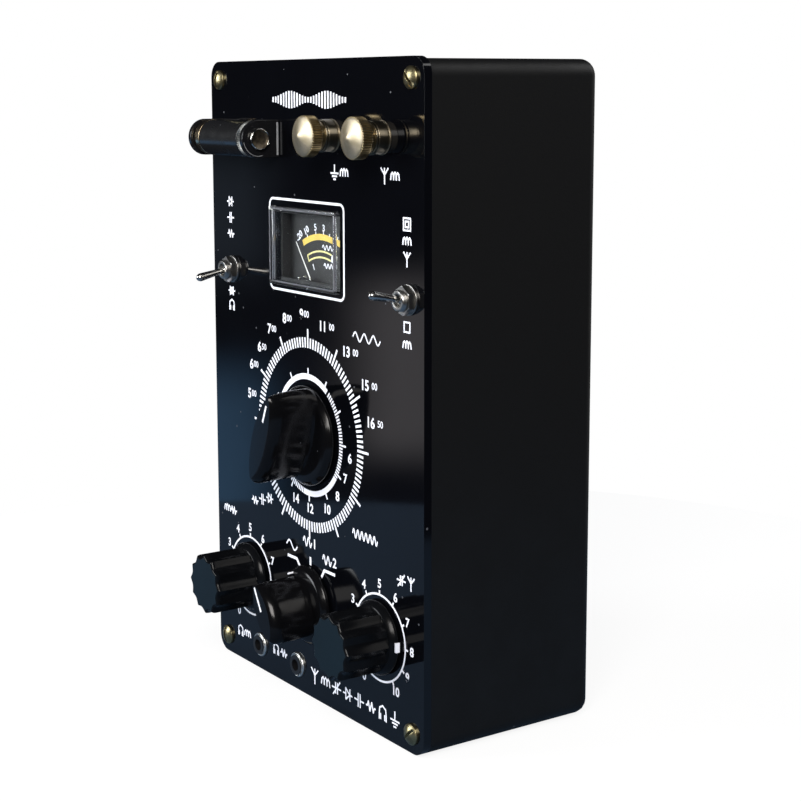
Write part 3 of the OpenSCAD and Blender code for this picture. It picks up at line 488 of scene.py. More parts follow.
EYELET = Finish("eyelet_chrome", (0.78, 0.77, 0.72), 0.12, 1.0, tone=0.2, patch=2)
EYELET_DOME = Finish("eyelet_dome", (0.3, 0.25, 0.17), 0.35, 1.0, accent=(0.12, 0.1, 0.08),
                     patch=1.5, grain=0.02, grain_size=0.4, slot="eyelet_chrome")
SHAFT = Finish("shaft_steel", (0.5, 0.5, 0.5), 0.3, 1.0, grain=0.004, patch=4)
INK = Finish("white_ink", (0.86, 0.87, 0.94), 0.45, tone=0.05, patch=6, grain=0.003,
             grain_size=0.2, slot="needle_white")
YELLOW_INK = Finish("yellow_ink", (0.72, 0.5, 0.08), 0.5, tone=0.15, patch=3,
                    slot="needle_white")
PALE_INK = Finish("pale_ink", (0.8, 0.74, 0.3), 0.5, patch=3, slot="needle_white")
DIAL = Finish("dial_black", (0.009, 0.009, 0.009), 0.55, tone=0.3, patch=7, grain=0.004)
# Painted reflection: grey bars that stand in for the light reflected along the clear cover's walls.
COVER_SHEEN = Finish("cover_edge", (0.1, 0.1, 0.115), 0.3, tone=0.3, patch=4, slot="clear_plastic")
NEEDLE = Finish("needle_white", (0.75, 0.75, 0.72), 0.45, tone=0.08, patch=3)
CLEAR = ClearFinish()


class Shape:
    """A piece's mesh while it is modelled, in millimetres."""

    def __init__(self) -> None:
        """Starts an empty mesh."""
        self.bm = bmesh.new()

    @classmethod
    def lathe(cls, profile: Profile, segments: int = 96) -> "Shape":
        """Turns a profile round the Z axis.

        Args:
            profile: radius and height of each corner, and the rounding of its edge where it
                has one. It is closed where both its ends lie off the axis.
            segments: the number of steps of the turn.

        Returns:
            The closed shape.
        """
        shape = cls()
        bm = shape.bm
        chain = [bm.verts.new((r, 0.0, h)) for r, h, *_ in profile]
        edges = [bm.edges.new(pair) for pair in zip(chain, chain[1:])]
        if profile[0][0] and profile[-1][0]:
            edges.append(bm.edges.new((chain[-1], chain[0])))
        bmesh.ops.spin(bm, geom=chain + edges, cent=(0, 0, 0), axis=(0, 0, 1), dvec=(0, 0, 0),
                       angle=FULL_TURN, steps=segments, use_merge=True)
        shape.close()
        for r, h, *rounding in profile:
            if rounding:
                shape.bevel(shape.ring_edges(r, h), *rounding)
        return shape

    @classmethod
    def sleeve(cls, inner: float, outer: float, low: float, high: float, rounding: float = 0.0,
               segments: int = 96) -> "Shape":
        """Turns a plain sleeve round the Z axis.

        Args:
            inner: its inner radius.
            outer: its outer radius.
            low: the height of its lower end.
            high: the height of its upper end.
            rounding: the rounding of its outer edges.
            segments: the number of steps of the turn.

        Returns:
            The closed shape.
        """
        rounded = (rounding,) if rounding else ()
        return cls.lathe([(inner, low), (outer, low, *rounded), (outer, high, *rounded),
                          (inner, high)], segments)

    @classmethod
    def loft(cls, sections: Sequence[Section], outline: Outline, segments: int = 96) -> "Shape":
        """Joins rings of like count from the lowest to the highest.

        Args:
            sections: the sizes of each ring, its height first.
            outline: gives a point from a section and the angle round the ring.
            segments: the number of points of a ring.

        Returns:
            The closed shape.
        """
        shape = cls()
        bm = shape.bm
        turn = bm.verts.layers.float.new("turn")
        verts = bmesh.ops.create_circle(bm, cap_ends=False, radius=1, segments=segments)["verts"]
        for v in verts:
            v[turn] = math.atan2(v.co.y, v.co.x)
        edges = list(bm.edges)
        first = edges
        for index, section in enumerate(sections):
            if index:
                made = bmesh.ops.extrude_edge_only(bm, edges=edges)["geom"]
                verts = [g for g in made if isinstance(g, bmesh.types.BMVert)]
                fresh = set(verts)
                edges = [g for g in made if isinstance(g, bmesh.types.BMEdge)
                         and set(g.verts) <= fresh]
            for v in verts:
                v.co = outline(section, v[turn])
        for loop in (first, edges):
            bmesh.ops.edgeloop_fill(bm, edges=loop)
        shape.close()
        return shape

    @classmethod
    def block(cls, size: Place, middle: Place, rounding: float = 0.0) -> "Shape":
        """Makes a box.

        Args:
            size: its three sizes.
            middle: its middle.
            rounding: the rounding of its edges.

        Returns:
            The box.
        """
        shape = cls()
        bmesh.ops.create_cube(shape.bm, size=1.0,
                              matrix=Matrix.Translation(middle) @ Matrix.Diagonal((*size, 1)))
        return shape.bevel(shape.sharp_edges(30), rounding, 2) if rounding else shape

    @classmethod
    def from_node(cls, node: str) -> "Shape":
        """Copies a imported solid's mesh, merged and with its flat faces whole.

        Args:
            node: the solid's name.

        Returns:
            The copy.
        """
        shape = cls()
        shape.bm.from_mesh(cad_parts[node].data)
        shape.bm.transform(Matrix.Scale(1 / MM, 4))
        bmesh.ops.remove_doubles(shape.bm, verts=shape.bm.verts, dist=NEAR)
        bmesh.ops.dissolve_limit(shape.bm, angle_limit=math.radians(0.5), verts=shape.bm.verts,
                                 edges=shape.bm.edges)
        return shape

    def close(self) -> None:
        """Merges corners that meet and turns the faces outwards."""
        bmesh.ops.remove_doubles(self.bm, verts=self.bm.verts, dist=MERGE)
        bmesh.ops.recalc_face_normals(self.bm, faces=self.bm.faces)

    def ring_edges(self, radius: float, height: float) -> list[bmesh.types.BMEdge]:
        """Finds the edges of the ring at a radius and a height."""
        return [e for e in self.bm.edges if all(
            abs(v.co.xy.length - radius) < NEAR and abs(v.co.z - height) < NEAR for v in e.verts)]

    def sharp_edges(self, angle: float, keep: Callable[[Vector], bool] = lambda p: True
                    ) -> list[bmesh.types.BMEdge]:
        """Finds the edges that turn more than an angle.

        Args:
            angle: the least turn in degrees.
            keep: tells from an edge's middle whether it counts.

        Returns:
            The edges.
        """
        return [e for e in self.bm.edges if len(e.link_faces) == 2
                and e.calc_face_angle(0) > math.radians(angle)
                and keep((e.verts[0].co + e.verts[1].co) / 2)]

    def bevel(self, edges: Sequence[bmesh.types.BMEdge], width: float, segments: int = 3
              ) -> "Shape":
        """Rounds edges.

        Args:
            edges: the edges to round.
            width: the width taken from each side.
            segments: the number of steps.

        Returns:
            The shape itself.
        """
        bmesh.ops.bevel(self.bm, geom=list(edges), offset=width, offset_type="OFFSET",
                        segments=segments, profile=0.5, affect="EDGES", clamp_overlap=True,
                        material=-1)
        return self

    def add(self, other: "Shape", place: Optional[Matrix] = None) -> None:
        """Takes another shape in.

        Args:
            other: the shape to take in, which is used up.
            place: where it goes.
        """
        if place is not None:
            other.bm.transform(place)
        passing = bpy.data.meshes.new("passing")
        other.bm.to_mesh(passing)
        other.bm.free()
        self.bm.from_mesh(passing)
        bpy.data.meshes.remove(passing)

    def piece(self, name: str, finish: Finish, node: str = "", body: str = "cabinet",
              place: Optional[Matrix] = None, centre: Place = (0.0, 0.0, 0.0), even: bool = True,
              slot: str = "") -> None:
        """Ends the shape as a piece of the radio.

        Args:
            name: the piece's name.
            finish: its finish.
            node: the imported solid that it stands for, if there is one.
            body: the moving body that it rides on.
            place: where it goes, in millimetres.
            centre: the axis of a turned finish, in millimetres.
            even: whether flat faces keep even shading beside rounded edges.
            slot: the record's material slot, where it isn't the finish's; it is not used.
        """
        if place is not None:
            self.bm.transform(place)
        self.bm.transform(Matrix.Scale(MM, 4))
        for f in self.bm.faces:
            f.smooth = True
        for e in self.bm.edges:
            e.smooth = len(e.link_faces) != 2 or e.calc_face_angle(0) < SHADE_LIMIT
        mesh = bpy.data.meshes.new(name)
        self.bm.to_mesh(mesh)
        self.bm.free()
        made = linked(name, mesh)
        mesh.materials.append(finish.material(centre))
        if even:
            made.modifiers.new("even_shading", "WEIGHTED_NORMAL").keep_sharp = True
        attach(made, body)
        slot or finish.slot or finish.name
        if node:
            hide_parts(node)
        log.info("%s rides on %s, %d faces", name, body, len(mesh.polygons))


def bar(x: float, half: float) -> tuple[Point, ...]:
    """Gives an upright stroke of a symbol."""
    return (x, -half), (x, half)


def box(wide: float, high: float) -> tuple[Point, ...]:
    """Gives a box round a symbol's middle."""
    return (-wide, -high), (wide, -high), (wide, high), (-wide, high), (-wide, -high)


class Symbol(Enum):
    """Generic circuit symbols, each as strokes in a square from -1 to 1."""

    AERIAL = (((-0.8, 1), (0, 0.15), (0.8, 1)), ((0, 1), (0, -1)))
    EARTH = (((0, 1), (0, -0.05)), ((-0.9, -0.1), (0.9, -0.1)), ((-0.55, -0.5), (0.55, -0.5)),
             ((-0.22, -0.9), (0.22, -0.9)))
    CAPACITOR = (((-1, 0), (-0.22, 0)), bar(-0.22, 0.85), bar(0.22, 0.85), ((0.22, 0), (1, 0)))
    TRIMMER = (((-1, 0), (-0.22, 0)), bar(-0.22, 0.7), bar(0.22, 0.7), ((0.22, 0), (1, 0)),
               ((-0.8, -0.95), (0.8, 0.95)))
    DIODE = (((-1, 0), (-0.45, 0)), ((-0.45, 0.75), (-0.45, -0.75), (0.45, 0), (-0.45, 0.75)),
             bar(0.5, 0.75), ((0.5, 0), (1, 0)))
    RESISTOR = (((-1, 0), (-0.75, 0), (-0.55, 0.6), (-0.2, -0.6), (0.2, 0.6), (0.55, -0.6),
                 (0.75, 0), (1, 0)),)
    COIL = (((-1, -0.4), (-0.9, 0.3), (-0.6, 0.55), (-0.35, 0.2), (-0.33, -0.4)),
            ((-0.33, -0.4), (-0.25, 0.35), (0, 0.6), (0.25, 0.35), (0.33, -0.4)),
            ((0.33, -0.4), (0.35, 0.2), (0.6, 0.55), (0.9, 0.3), (1, -0.4)))
    PHONES = (((-0.75, -0.1), (-0.65, 0.6), (0, 0.95), (0.65, 0.6), (0.75, -0.1)),
              ((-0.75, -0.1), (-0.75, -0.85)), ((0.75, -0.1), (0.75, -0.85)),
              ((-0.45, -0.15), (-0.45, -0.8)), ((0.45, -0.15), (0.45, -0.8)))
    CRYSTAL = (((-1, 0), (-0.5, 0)), bar(-0.5, 0.7), box(0.22, 0.5), bar(0.5, 0.7),
               ((0.5, 0), (1, 0)))
    LOOP = (box(0.7, 0.7),)
    DOUBLE_LOOP = (box(0.85, 0.85), box(0.4, 0.4))


class Ink:
    """Flat printed strokes with a thin layer's thickness, drawn in a plane's own X and Y."""

    def __init__(self, layer: float = 0.035) -> None:
        """Starts an empty print.

        Args:
            layer: the thickness of the ink.
        """
        self.shape = Shape()
        self.layer = layer
        self.count = 0

    def rise(self) -> float:
        """Gives the next stroke's thickness, so that crossing strokes share no plane."""
        self.count += 1
        return self.layer + 0.0015 * (self.count % 9)

    def line(self, start: Point, end: Point, width: float) -> None:
        """Draws a straight stroke.

        Args:
            start: its start.
            end: its end.
            width: its width.
        """
        a, b = Vector((*start, 0)), Vector((*end, 0))
        run = b - a
        high = self.rise()
        place = (Matrix.Translation(((a.x + b.x) / 2, (a.y + b.y) / 2, high / 2))
                 @ Matrix.Rotation(math.atan2(run.y, run.x), 4, "Z")
                 @ Matrix.Diagonal((run.length, width, high, 1)))
        bmesh.ops.create_cube(self.shape.bm, size=1.0, matrix=place)

    def tick(self, middle: Point, angle: float, reach: Point, width: float) -> None:
        """Draws a stroke that points to a middle, between the two radii of its reach."""
        self.line(polar(middle, reach[0], angle), polar(middle, reach[1], angle), width)

    def path(self, points: Sequence[Point], width: float) -> None:
        """Draws joined strokes, each a little longer so that the corners are full.

        Args:
            points: the corners in order.
            width: the strokes' width.
        """
        for start, end in zip(points, points[1:]):
            a, b = Vector(start), Vector(end)
            over = (b - a).normalized() * width * 0.3
            self.line(tuple(a - over), tuple(b + over), width)

    def ring(self, middle: Point, radius: float, width: float) -> None:
        """Draws a whole ring of a middle radius and a width."""
        self.shape.add(Shape.sleeve(radius - width / 2, radius + width / 2, 0, self.rise(),
                                    segments=120), Matrix.Translation((*middle, 0)))

    def arc(self, middle: Point, radius: float, width: float, start: float, end: float) -> None:
        """Draws an arc.

        Args:
            middle: the centre of the arc.
            radius: its middle radius.
            width: its width.
            start: the angle where it starts, in degrees.
            end: the angle where it ends, in degrees.
        """
        high = self.rise()
        part = Shape.block((width, 1e-3, high), (radius, 0, high / 2))
        verts, faces = part.bm.verts, part.bm.faces
        bmesh.ops.delete(part.bm, geom=[max(faces, key=lambda f: f.calc_center_median().y)],
                         context="FACES_ONLY")
        bmesh.ops.spin(part.bm, geom=[e for e in (*verts, *part.bm.edges) if e.is_boundary],
                       cent=(0, 0, 0), axis=(0, 0, 1), angle=math.radians(end - start),
                       steps=max(2, int(abs(end - start) / 3)))
        bmesh.ops.holes_fill(part.bm, edges=part.bm.edges, sides=4)
        bmesh.ops.recalc_face_normals(part.bm, faces=faces)
        self.shape.add(part, Matrix.Translation((*middle, 0))
                       @ Matrix.Rotation(math.radians(start), 4, "Z"))

    def number(self, text: str, middle: Point, height: float, turn: float = 0.0,
               weight: float = 0.035) -> None:
        """Writes a number.

        Args:
            text: its digits.
            middle: the middle of the number.
            height: the height of its digits.
            turn: its turn in degrees.
            weight: how much its strokes are thickened, as a share of the height.
        """
        curve = bpy.data.curves.new("digits", "FONT")
        for key, value in (("body", text), ("size", height / DIGIT_SHARE), ("align_x", "CENTER"),
                           ("align_y", "CENTER"), ("extrude", self.rise() / 2),
                           ("offset", weight * height), ("resolution_u", 5)):
            setattr(curve, key, value)
        holder = linked("digits", curve)
        mesh = bpy.data.meshes.new_from_object(
            holder.evaluated_get(bpy.context.evaluated_depsgraph_get()))
        digits = Shape()
        digits.bm.from_mesh(mesh)
        bmesh.ops.remove_doubles(digits.bm, verts=digits.bm.verts, dist=MERGE)
        self.shape.add(digits, Matrix.Translation((*middle, curve.extrude))
                       @ Matrix.Rotation(math.radians(turn), 4, "Z"))
        bpy.data.meshes.remove(mesh)
        bpy.data.objects.remove(holder)
        bpy.data.curves.remove(curve)

    def symbol(self, kind: Symbol, middle: Point, width: float, height: float) -> None:
        """Draws a circuit symbol.

        Args:
            kind: the symbol.
            middle: its middle.
            width: its width.
            height: its height.
        """
        for strokes in kind.value:
            self.path([(middle[0] + x * width / 2, middle[1] + y * height / 2)
                       for x, y in strokes], 0.5)

    def wave(self, start: Point, length: float, height: float, cycles: int,
             stroke: float = 0.48) -> None:
        """Draws a sine wave to the right of its start.

        Args:
            start: its left end.
            length: its length.
            height: its height from trough to crest.
            cycles: the number of its waves.
            stroke: its stroke's width.
        """
        count = cycles * 14
        self.path([(start[0] + length * i / count,
                    start[1] + height / 2 * math.sin(FULL_TURN * cycles * i / count))
                   for i in range(count + 1)], stroke)


@dataclass
class Cabinet:
    """The moulded box, its front panel and the panel's screws."""

    rim_round: float = 0.35
    screw_round: float = 0.05
    corner: Point = (51.0, 89.0)
    tighten: float = 1.2
    skin_r: float = 5.5
    back_from: float = 26.4
    back_skin_r: float = 2.3
    top_from: float = 184.0
    case_drop: float = 0.6
    rim_x: float = 50.0
    rim_z: Point = (2.0, 188.0)

    def tighter(self, shape: Shape) -> Shape:
        """Draws the outer skin's upright corners tighter, as the photograph shows them.

        Args:
            shape: the copy of the box or of the panel.

        Returns:
            The same shape.
        """
        for v in shape.bm.verts:
            up = v.co.z - MIDDLE_Z
            away = Vector((abs(v.co.x) - self.corner[0], abs(up) - self.corner[1]))
            least = self.back_skin_r if v.co.y > self.back_from else self.skin_r
            if min(away) < -1e-3 or away.length < least:
                continue
            moved = away.normalized() * (away.length - self.tighten)
            v.co.x = math.copysign(self.corner[0] + self.tighten + moved.x, v.co.x)
            v.co.z = MIDDLE_Z + math.copysign(self.corner[1] + self.tighten + moved.y, up)
        return shape

    def build(self) -> None:
        """Builds the box, the panel and the screws."""
        case = self.tighter(Shape.from_node("case"))
        for v in case.bm.verts:
            if v.co.z > self.top_from:
                v.co.z -= self.case_drop
        case.bevel(case.sharp_edges(40), self.rim_round, 2)
        case.piece("cabinet_box", CABINET, "case")
        panel = self.tighter(Shape.from_node("front_panel"))
        low, high = self.rim_z
        rim = panel.sharp_edges(40, lambda p: abs(p.x) > self.rim_x or not low <= p.z <= high)
        panel.bevel(rim, self.rim_round, 3)
        panel.piece("panel_plate", PANEL, "front_panel")
        screws = Shape.from_node("panel_screws")
        screws.bevel(screws.sharp_edges(35, lambda p: p.y < PANEL_Y - 0.5), self.screw_round, 2)
        screws.piece("slotted_screws", SCREW_BRASS, "panel_screws")


@dataclass
class TuningPrint:
    """The tuning dial printed on the panel."""

    middle: Point = (-1.07, 80.5)
    inner: Point = (16.65, 18.35)
    inner_bars: tuple = ((55, 150), (-100, -35))
    inner_tick: Point = (18.25, 20.05)
    outer: Point = (26.0, 29.0)
    outer_long: Point = (26.0, 31.6)
    inner_stroke: float = 0.55
    tick_stroke: float = 0.6
    outer_stroke: float = 0.72
    steps: int = 120
    frequencies: tuple = (("5", "00", -34.5, 87.6), ("6", "00", -33, 97), ("6", "50", -28, 103),
                          ("7", "00", -22, 109.3), ("8", "00", -13, 113.5),
                          ("9", "00", -3.3, 115.8), ("11", "00", 9, 113.5),
                          ("13", "00", 21.3, 107.7), ("15", "00", 30.7, 99.5),
                          ("16", "50", 33.5, 89.3))
    short_waves: tuple = (("6", 21, 77.3), ("7", 18.5, 71), ("8", 14.4, 65), ("10", 8.7, 60),
                          ("12", -0.7, 58.3), ("14", -8.8, 59.8))

    def draw(self, ink: Ink) -> None:
        """Draws the two scales and their numbers.

        Args:
            ink: the print that they go on.
        """
        low, high = self.inner
        for start, end in self.inner_bars:
            ink.arc(self.middle, (low + high) / 2, high - low, start, end)
        for step in range(self.steps):
            angle, whole = 360 / self.steps * step, step % 10 == 0
            if all((angle - start + 1) % 360 > end - start + 2 for start, end in self.inner_bars):
                ink.tick(self.middle, angle, self.inner, self.inner_stroke)
            ink.tick(self.middle, angle, self.outer_long if whole else self.outer,
                     self.outer_stroke)
            if whole:
                ink.tick(self.middle, angle, self.inner_tick, self.tick_stroke)
        for large, small, x, z in self.frequencies:
            digits = len(large)
            ink.number(large, (x - 0.75 * digits - 0.4, z + 0.2), 2.9)
            ink.number(small, (x + 1.3 * digits + 0.3, z + 0.5), 1.9, weight=0.015)
        for text, x, z in self.short_waves:
            ink.number(text, (x, z), 2.7)


@dataclass
class PanelPrint:
    """All white printing on the panel, with generic marks for the words' places."""

    tuning: TuningPrint = field(default_factory=TuningPrint)
    ink: Ink = field(default_factory=Ink)
    title_left: float = -19.2
    title_z: float = 178.5
    title_strokes: int = 27
    title_waves: int = 2
    title_step: float = 1.5
    title_least: float = 1.5
    title_swing: float = 1.75
    title_stroke: float = 0.75
    knob_middles: tuple = ((-36.5, 29.0), (35.75, 28.8))
    knob_r: float = 12.5
    knob_stroke: float = 0.6
    knob_tick: Point = (0.3, 1.3)
    knob_number: float = 3.1
    meter_frame: tuple = (-22.25, 18.9, 122.0, 149.75)
    frame_bend: float = 2.3
    frame_stroke: float = 0.72
    band_stroke: float = 0.9
    band_bends: tuple = (((-13.5, 41.2), (-8.5, 41.2), (-6.5, 39)),
                         ((12.5, 41.2), (7, 41.2), (5.5, 39)))
    band_middle: tuple = ((-0.7, 41), (-0.7, 43.5))
    band_wave: Point = (-14.2, 44.8)
    band_names: tuple = (("1", -4.6, 1.7, 47.8), ("2", 6.2, 12.6, 44.6))
    post_marks_z: float = 158.3
    post_marks: tuple = ((Symbol.EARTH, 14.0, 4.2), (Symbol.COIL, 18.9, 4.0),
                         (Symbol.AERIAL, 38.8, 4.2), (Symbol.COIL, 43.7, 4.0))
    side_marks: tuple = (
        (-46, 3.6, ((Symbol.DIODE, 147), (Symbol.CAPACITOR, 142), (Symbol.RESISTOR, 137),
                    (Symbol.CRYSTAL, 119), (Symbol.PHONES, 114.5))),
        (49.2, 3.8, ((Symbol.DOUBLE_LOOP, 146), (Symbol.COIL, 141.4), (Symbol.AERIAL, 136.6),
                     (Symbol.LOOP, 118.5), (Symbol.COIL, 113.6))))
    word_waves: tuple = (((23, 113), 13.5, 2.4, 3), ((22.3, 56.2), 12.5, 2.4, 6))
    mark_width: float = 3.8
    low_mark_height: float = 3.7
    low_marks: tuple = (
        (Symbol.RESISTOR, -33.2, 54.2), (Symbol.CAPACITOR, -28.6, 55.4),
        (Symbol.DIODE, -24.2, 56.6), (Symbol.COIL, -51, 48), (Symbol.RESISTOR, -47, 48),
        (Symbol.TRIMMER, 46.4, 48), (Symbol.AERIAL, 51, 48), (Symbol.PHONES, -43.6, 9),
        (Symbol.COIL, -39.2, 9), (Symbol.PHONES, -21.4, 9), (Symbol.RESISTOR, -16.8, 9))
    row: tuple = (Symbol.AERIAL, Symbol.COIL, Symbol.TRIMMER, Symbol.DIODE, Symbol.CAPACITOR,
                  Symbol.RESISTOR, Symbol.PHONES, Symbol.EARTH)
    row_start: Point = (1.2, 7.0)
    row_step: float = 6.0
    row_size: float = 4.6

    def build(self) -> None:
        """Draws everything and ends it as one layer of ink."""
        self.tuning.draw(self.ink)
        self.draw_knob_scales()
        self.draw_meter_frame()
        self.draw_bands()
        self.draw_marks()
        self.ink.shape.piece("panel_print", INK, place=on_panel(0, 0), even=False)

    def draw_knob_scales(self) -> None:
        """Draws the rings, ticks and numbers from 0 to 10 round the two fluted knobs."""
        r, reach = self.knob_r, tuple(self.knob_r + step for step in self.knob_tick)
        for middle in self.knob_middles:
            self.ink.ring(middle, r, self.knob_stroke)
            for value in range(11):
                angle = 240 - 30 * value
                self.ink.tick(middle, angle, reach, self.knob_stroke)
                self.ink.number(str(value), polar(middle, r + self.knob_number, angle), 2.5)

    def draw_meter_frame(self) -> None:
        """Draws the frame round the meter."""
        left, right, low, high = self.meter_frame
        bend, width = self.frame_bend, self.frame_stroke
        half = width / 2
        for x, z, start in ((right - bend, high - bend, 0), (left + bend, high - bend, 90),
                            (left + bend, low + bend, 180), (right - bend, low + bend, 270)):
            self.ink.arc((x, z), bend - half, width, start, start + 90)
        for z in (low + half, high - half):
            self.ink.line((left + bend, z), (right - bend, z), width)
        for x in (left + half, right - half):
            self.ink.line((x, low + bend), (x, high - bend), width)

    def draw_bands(self) -> None:
        """Draws the band switch's three places."""
        ink = self.ink
        for bend in self.band_bends:
            ink.path(bend, self.band_stroke)
        ink.line(*self.band_middle, self.band_stroke)
        ink.wave(self.band_wave, 6.0, 2.6, 1)
        for text, x, x_text, z in self.band_names:
            ink.wave((x, z), 4.6, 2.6, 2)
            ink.number(text, (x_text, z), 2.8)

    def draw_marks(self) -> None:
        """Draws the generic marks in the words' places."""
        ink = self.ink
        for i in range(self.title_strokes):
            wave = math.cos(FULL_TURN * self.title_waves * i / (self.title_strokes - 1))
            half = (self.title_least + self.title_swing * (1 - wave)) / 2
            x = self.title_left + self.title_step * i
            ink.line((x, self.title_z - half), (x, self.title_z + half), self.title_stroke)
        for kind, x, size in self.post_marks:
            ink.symbol(kind, (x, self.post_marks_z), size, size)
        for x, height, marks in self.side_marks:
            for kind, z in marks:
                ink.symbol(kind, (x, z), self.mark_width, height)
        for wave in self.word_waves:
            ink.wave(*wave)
        for kind, x, z in self.low_marks:
            ink.symbol(kind, (x, z), self.mark_width, self.low_mark_height)
        x, z = self.row_start
        for i, kind in enumerate(self.row):
            ink.symbol(kind, (x + self.row_step * i, z), self.row_size, self.row_size)


@dataclass
class Meter:
    """The level meter with its clear cover, printed dial and needle."""

    middle_x: float = -1.5
    pivot_z: float = 122.2
    dial_out: float = -5.2
    needle_out: float = -3.5
    needle_length: float = 18.2
    needle_lean: float = 36.7
    arc_middle: Point = (-0.1, 115.96)
    band_r: float = 22.9
    band_ends: Point = (62, 117)
    double_r: Point = (18.7, 16.95)
    double_ends: Point = (74, 115)
    block_ends: Point = (69, 73.5)
    tick_angles: tuple = (109.3, 97.8, 87.8, 80, 73)
    numbers: tuple = (("20", -12.2, 138.6, 40), ("10", -8.6, 140.2, 35), ("5", -3.6, 141.4, 8),
                      ("3", 0.9, 141.4, 0))
    word_waves: tuple = (((0.2, 135.9), 5.6), ((1.0, 130.6), 5.2))
    short_strokes: tuple = (((-13.6, 136.9), (-12.9, 137.3)), ((-5.1, 130.6), (-4.3, 128.9)))
    sill_size: Place = (33.0, 0.7, 1.7)
    sill_z: float = 125.1
    stud_places: tuple = ((-8.6, 126.2), (-5.7, 126.8), (-4.3, 125.6), (-2.3, 126.3))
    # Painted reflection: each grey bar (size, x, out, z) stands in for the light on one of the
    # clear cover's walls.
    cover_edges: tuple = (((0.45, 0.5, 20.6), -18.7, -0.1, 135.4),
                          ((0.5, 0.6, 20.6), 15.9, 1.45, 135.6),
                          ((34.0, 0.6, 0.5), -1.5, 1.45, 146.6),
                          ((34.0, 0.6, 0.35), -1.5, 1.2, 124.9))

    def build(self) -> None:
        """Builds the cover, the dial with its print, the sill and the needle."""
        cover = Shape.from_node("meter_cover")
        cover.bevel(cover.sharp_edges(40, lambda p: p.y < PANEL_Y), 0.3, 3)
        cover.piece("meter_window", CLEAR, "meter_cover")
        Shape.from_node("meter_dial").piece("meter_face", DIAL, "meter_dial", even=False)
        self.build_print()
        self.build_sill()
        self.build_needle()

    def build_print(self) -> None:
        """Draws the dial's bands, ticks, numbers and generic marks."""
        middle = self.arc_middle
        white, yellow, pale = Ink(0.03), Ink(0.03), Ink(0.03)
        yellow.arc(middle, self.band_r, 1.8, *self.band_ends)
        outer, inner = self.double_r
        for radius in self.double_r:
            pale.arc(middle, radius, 0.5, *self.double_ends)
        pale.tick(middle, self.double_ends[1], (inner - 0.2, outer + 0.2), 0.5)
        white.arc(middle, (inner + outer) / 2, 2.1, *self.block_ends)
        for angle in self.tick_angles:
            white.tick(middle, angle, (self.band_r + 0.8, self.band_r + 1.6), 0.35)
        for text, x, z, turn in self.numbers:
            white.number(text, (x, z), 1.9, turn)
        for start, length in self.word_waves:
            white.wave(start, length, 1.3, 3, 0.32)
        for stroke in self.short_strokes:
            white.line(*stroke, 0.35)
        place = on_panel(0, 0, out=self.dial_out)
        for ink, name, finish in ((white, "dial_print", INK), (yellow, "dial_band", YELLOW_INK),
                                  (pale, "dial_double_arc", PALE_INK)):
            ink.shape.piece(name, finish, place=place, even=False)

    def build_sill(self) -> None:
        """Builds the dark sill before the pivot, its bright studs and the painted reflections on
        the cover.
        """
        sill = Shape.block(self.sill_size, (self.middle_x, PANEL_Y + 2.25, self.sill_z), 0.15)
        sill.piece("meter_sill", DIAL)
        studs = Shape()
        for x, z in self.stud_places:
            studs.add(Shape.lathe([(0, 1.7), (0.5, 1.7), (0.5, 2.5, 0.15), (0, 2.5)], 24),
                      on_panel(x, z, out=-4.6))
        studs.piece("meter_studs", CHROME, slot="needle_white")
        # Painted reflection: grey bars along the cover's walls stand in for the light that they
        # reflect.
        edges = Shape()
        for size, x, out, z in self.cover_edges:
            edges.add(Shape.block(size, (x, PANEL_Y - out, z)))
        # Painted highlight: a small white block stands in for a glint on the cover's top corner.
        glint = Shape.block((0.8, 0.4, 0.9), (-18.8, PANEL_Y - 0.1, 146.4), 0.1)
        glint.piece("meter_cover_painted_glint", NEEDLE, slot="clear_plastic")
        edges.piece("meter_cover_painted_sheen", COVER_SHEEN)

    def build_needle(self) -> None:
        """Builds the thin tapered needle with its hub and balance tail."""
        def outline(section: Section, turn: float) -> Place:
            """Gives a point of the needle's flat section."""
            along, half = section
            return half * math.cos(turn), along, 0.1 * math.sin(turn)

        tip = self.needle_length
        needle = Shape.loft([(-3.0, 0.45), (-1.2, 0.35), (0.0, 0.5), (1.2, 0.3), (6.0, 0.24),
                             (tip - 0.3, 0.15), (tip, 0.05)], outline, 16)
        needle.add(Shape.sleeve(0.52, 1.1, -0.1, 0.12, 0.05, 32))
        needle.piece("meter_pointer", NEEDLE, "meter_needle", "needle", on_panel(
            self.middle_x + 0.7, self.pivot_z, self.needle_lean, self.needle_out))


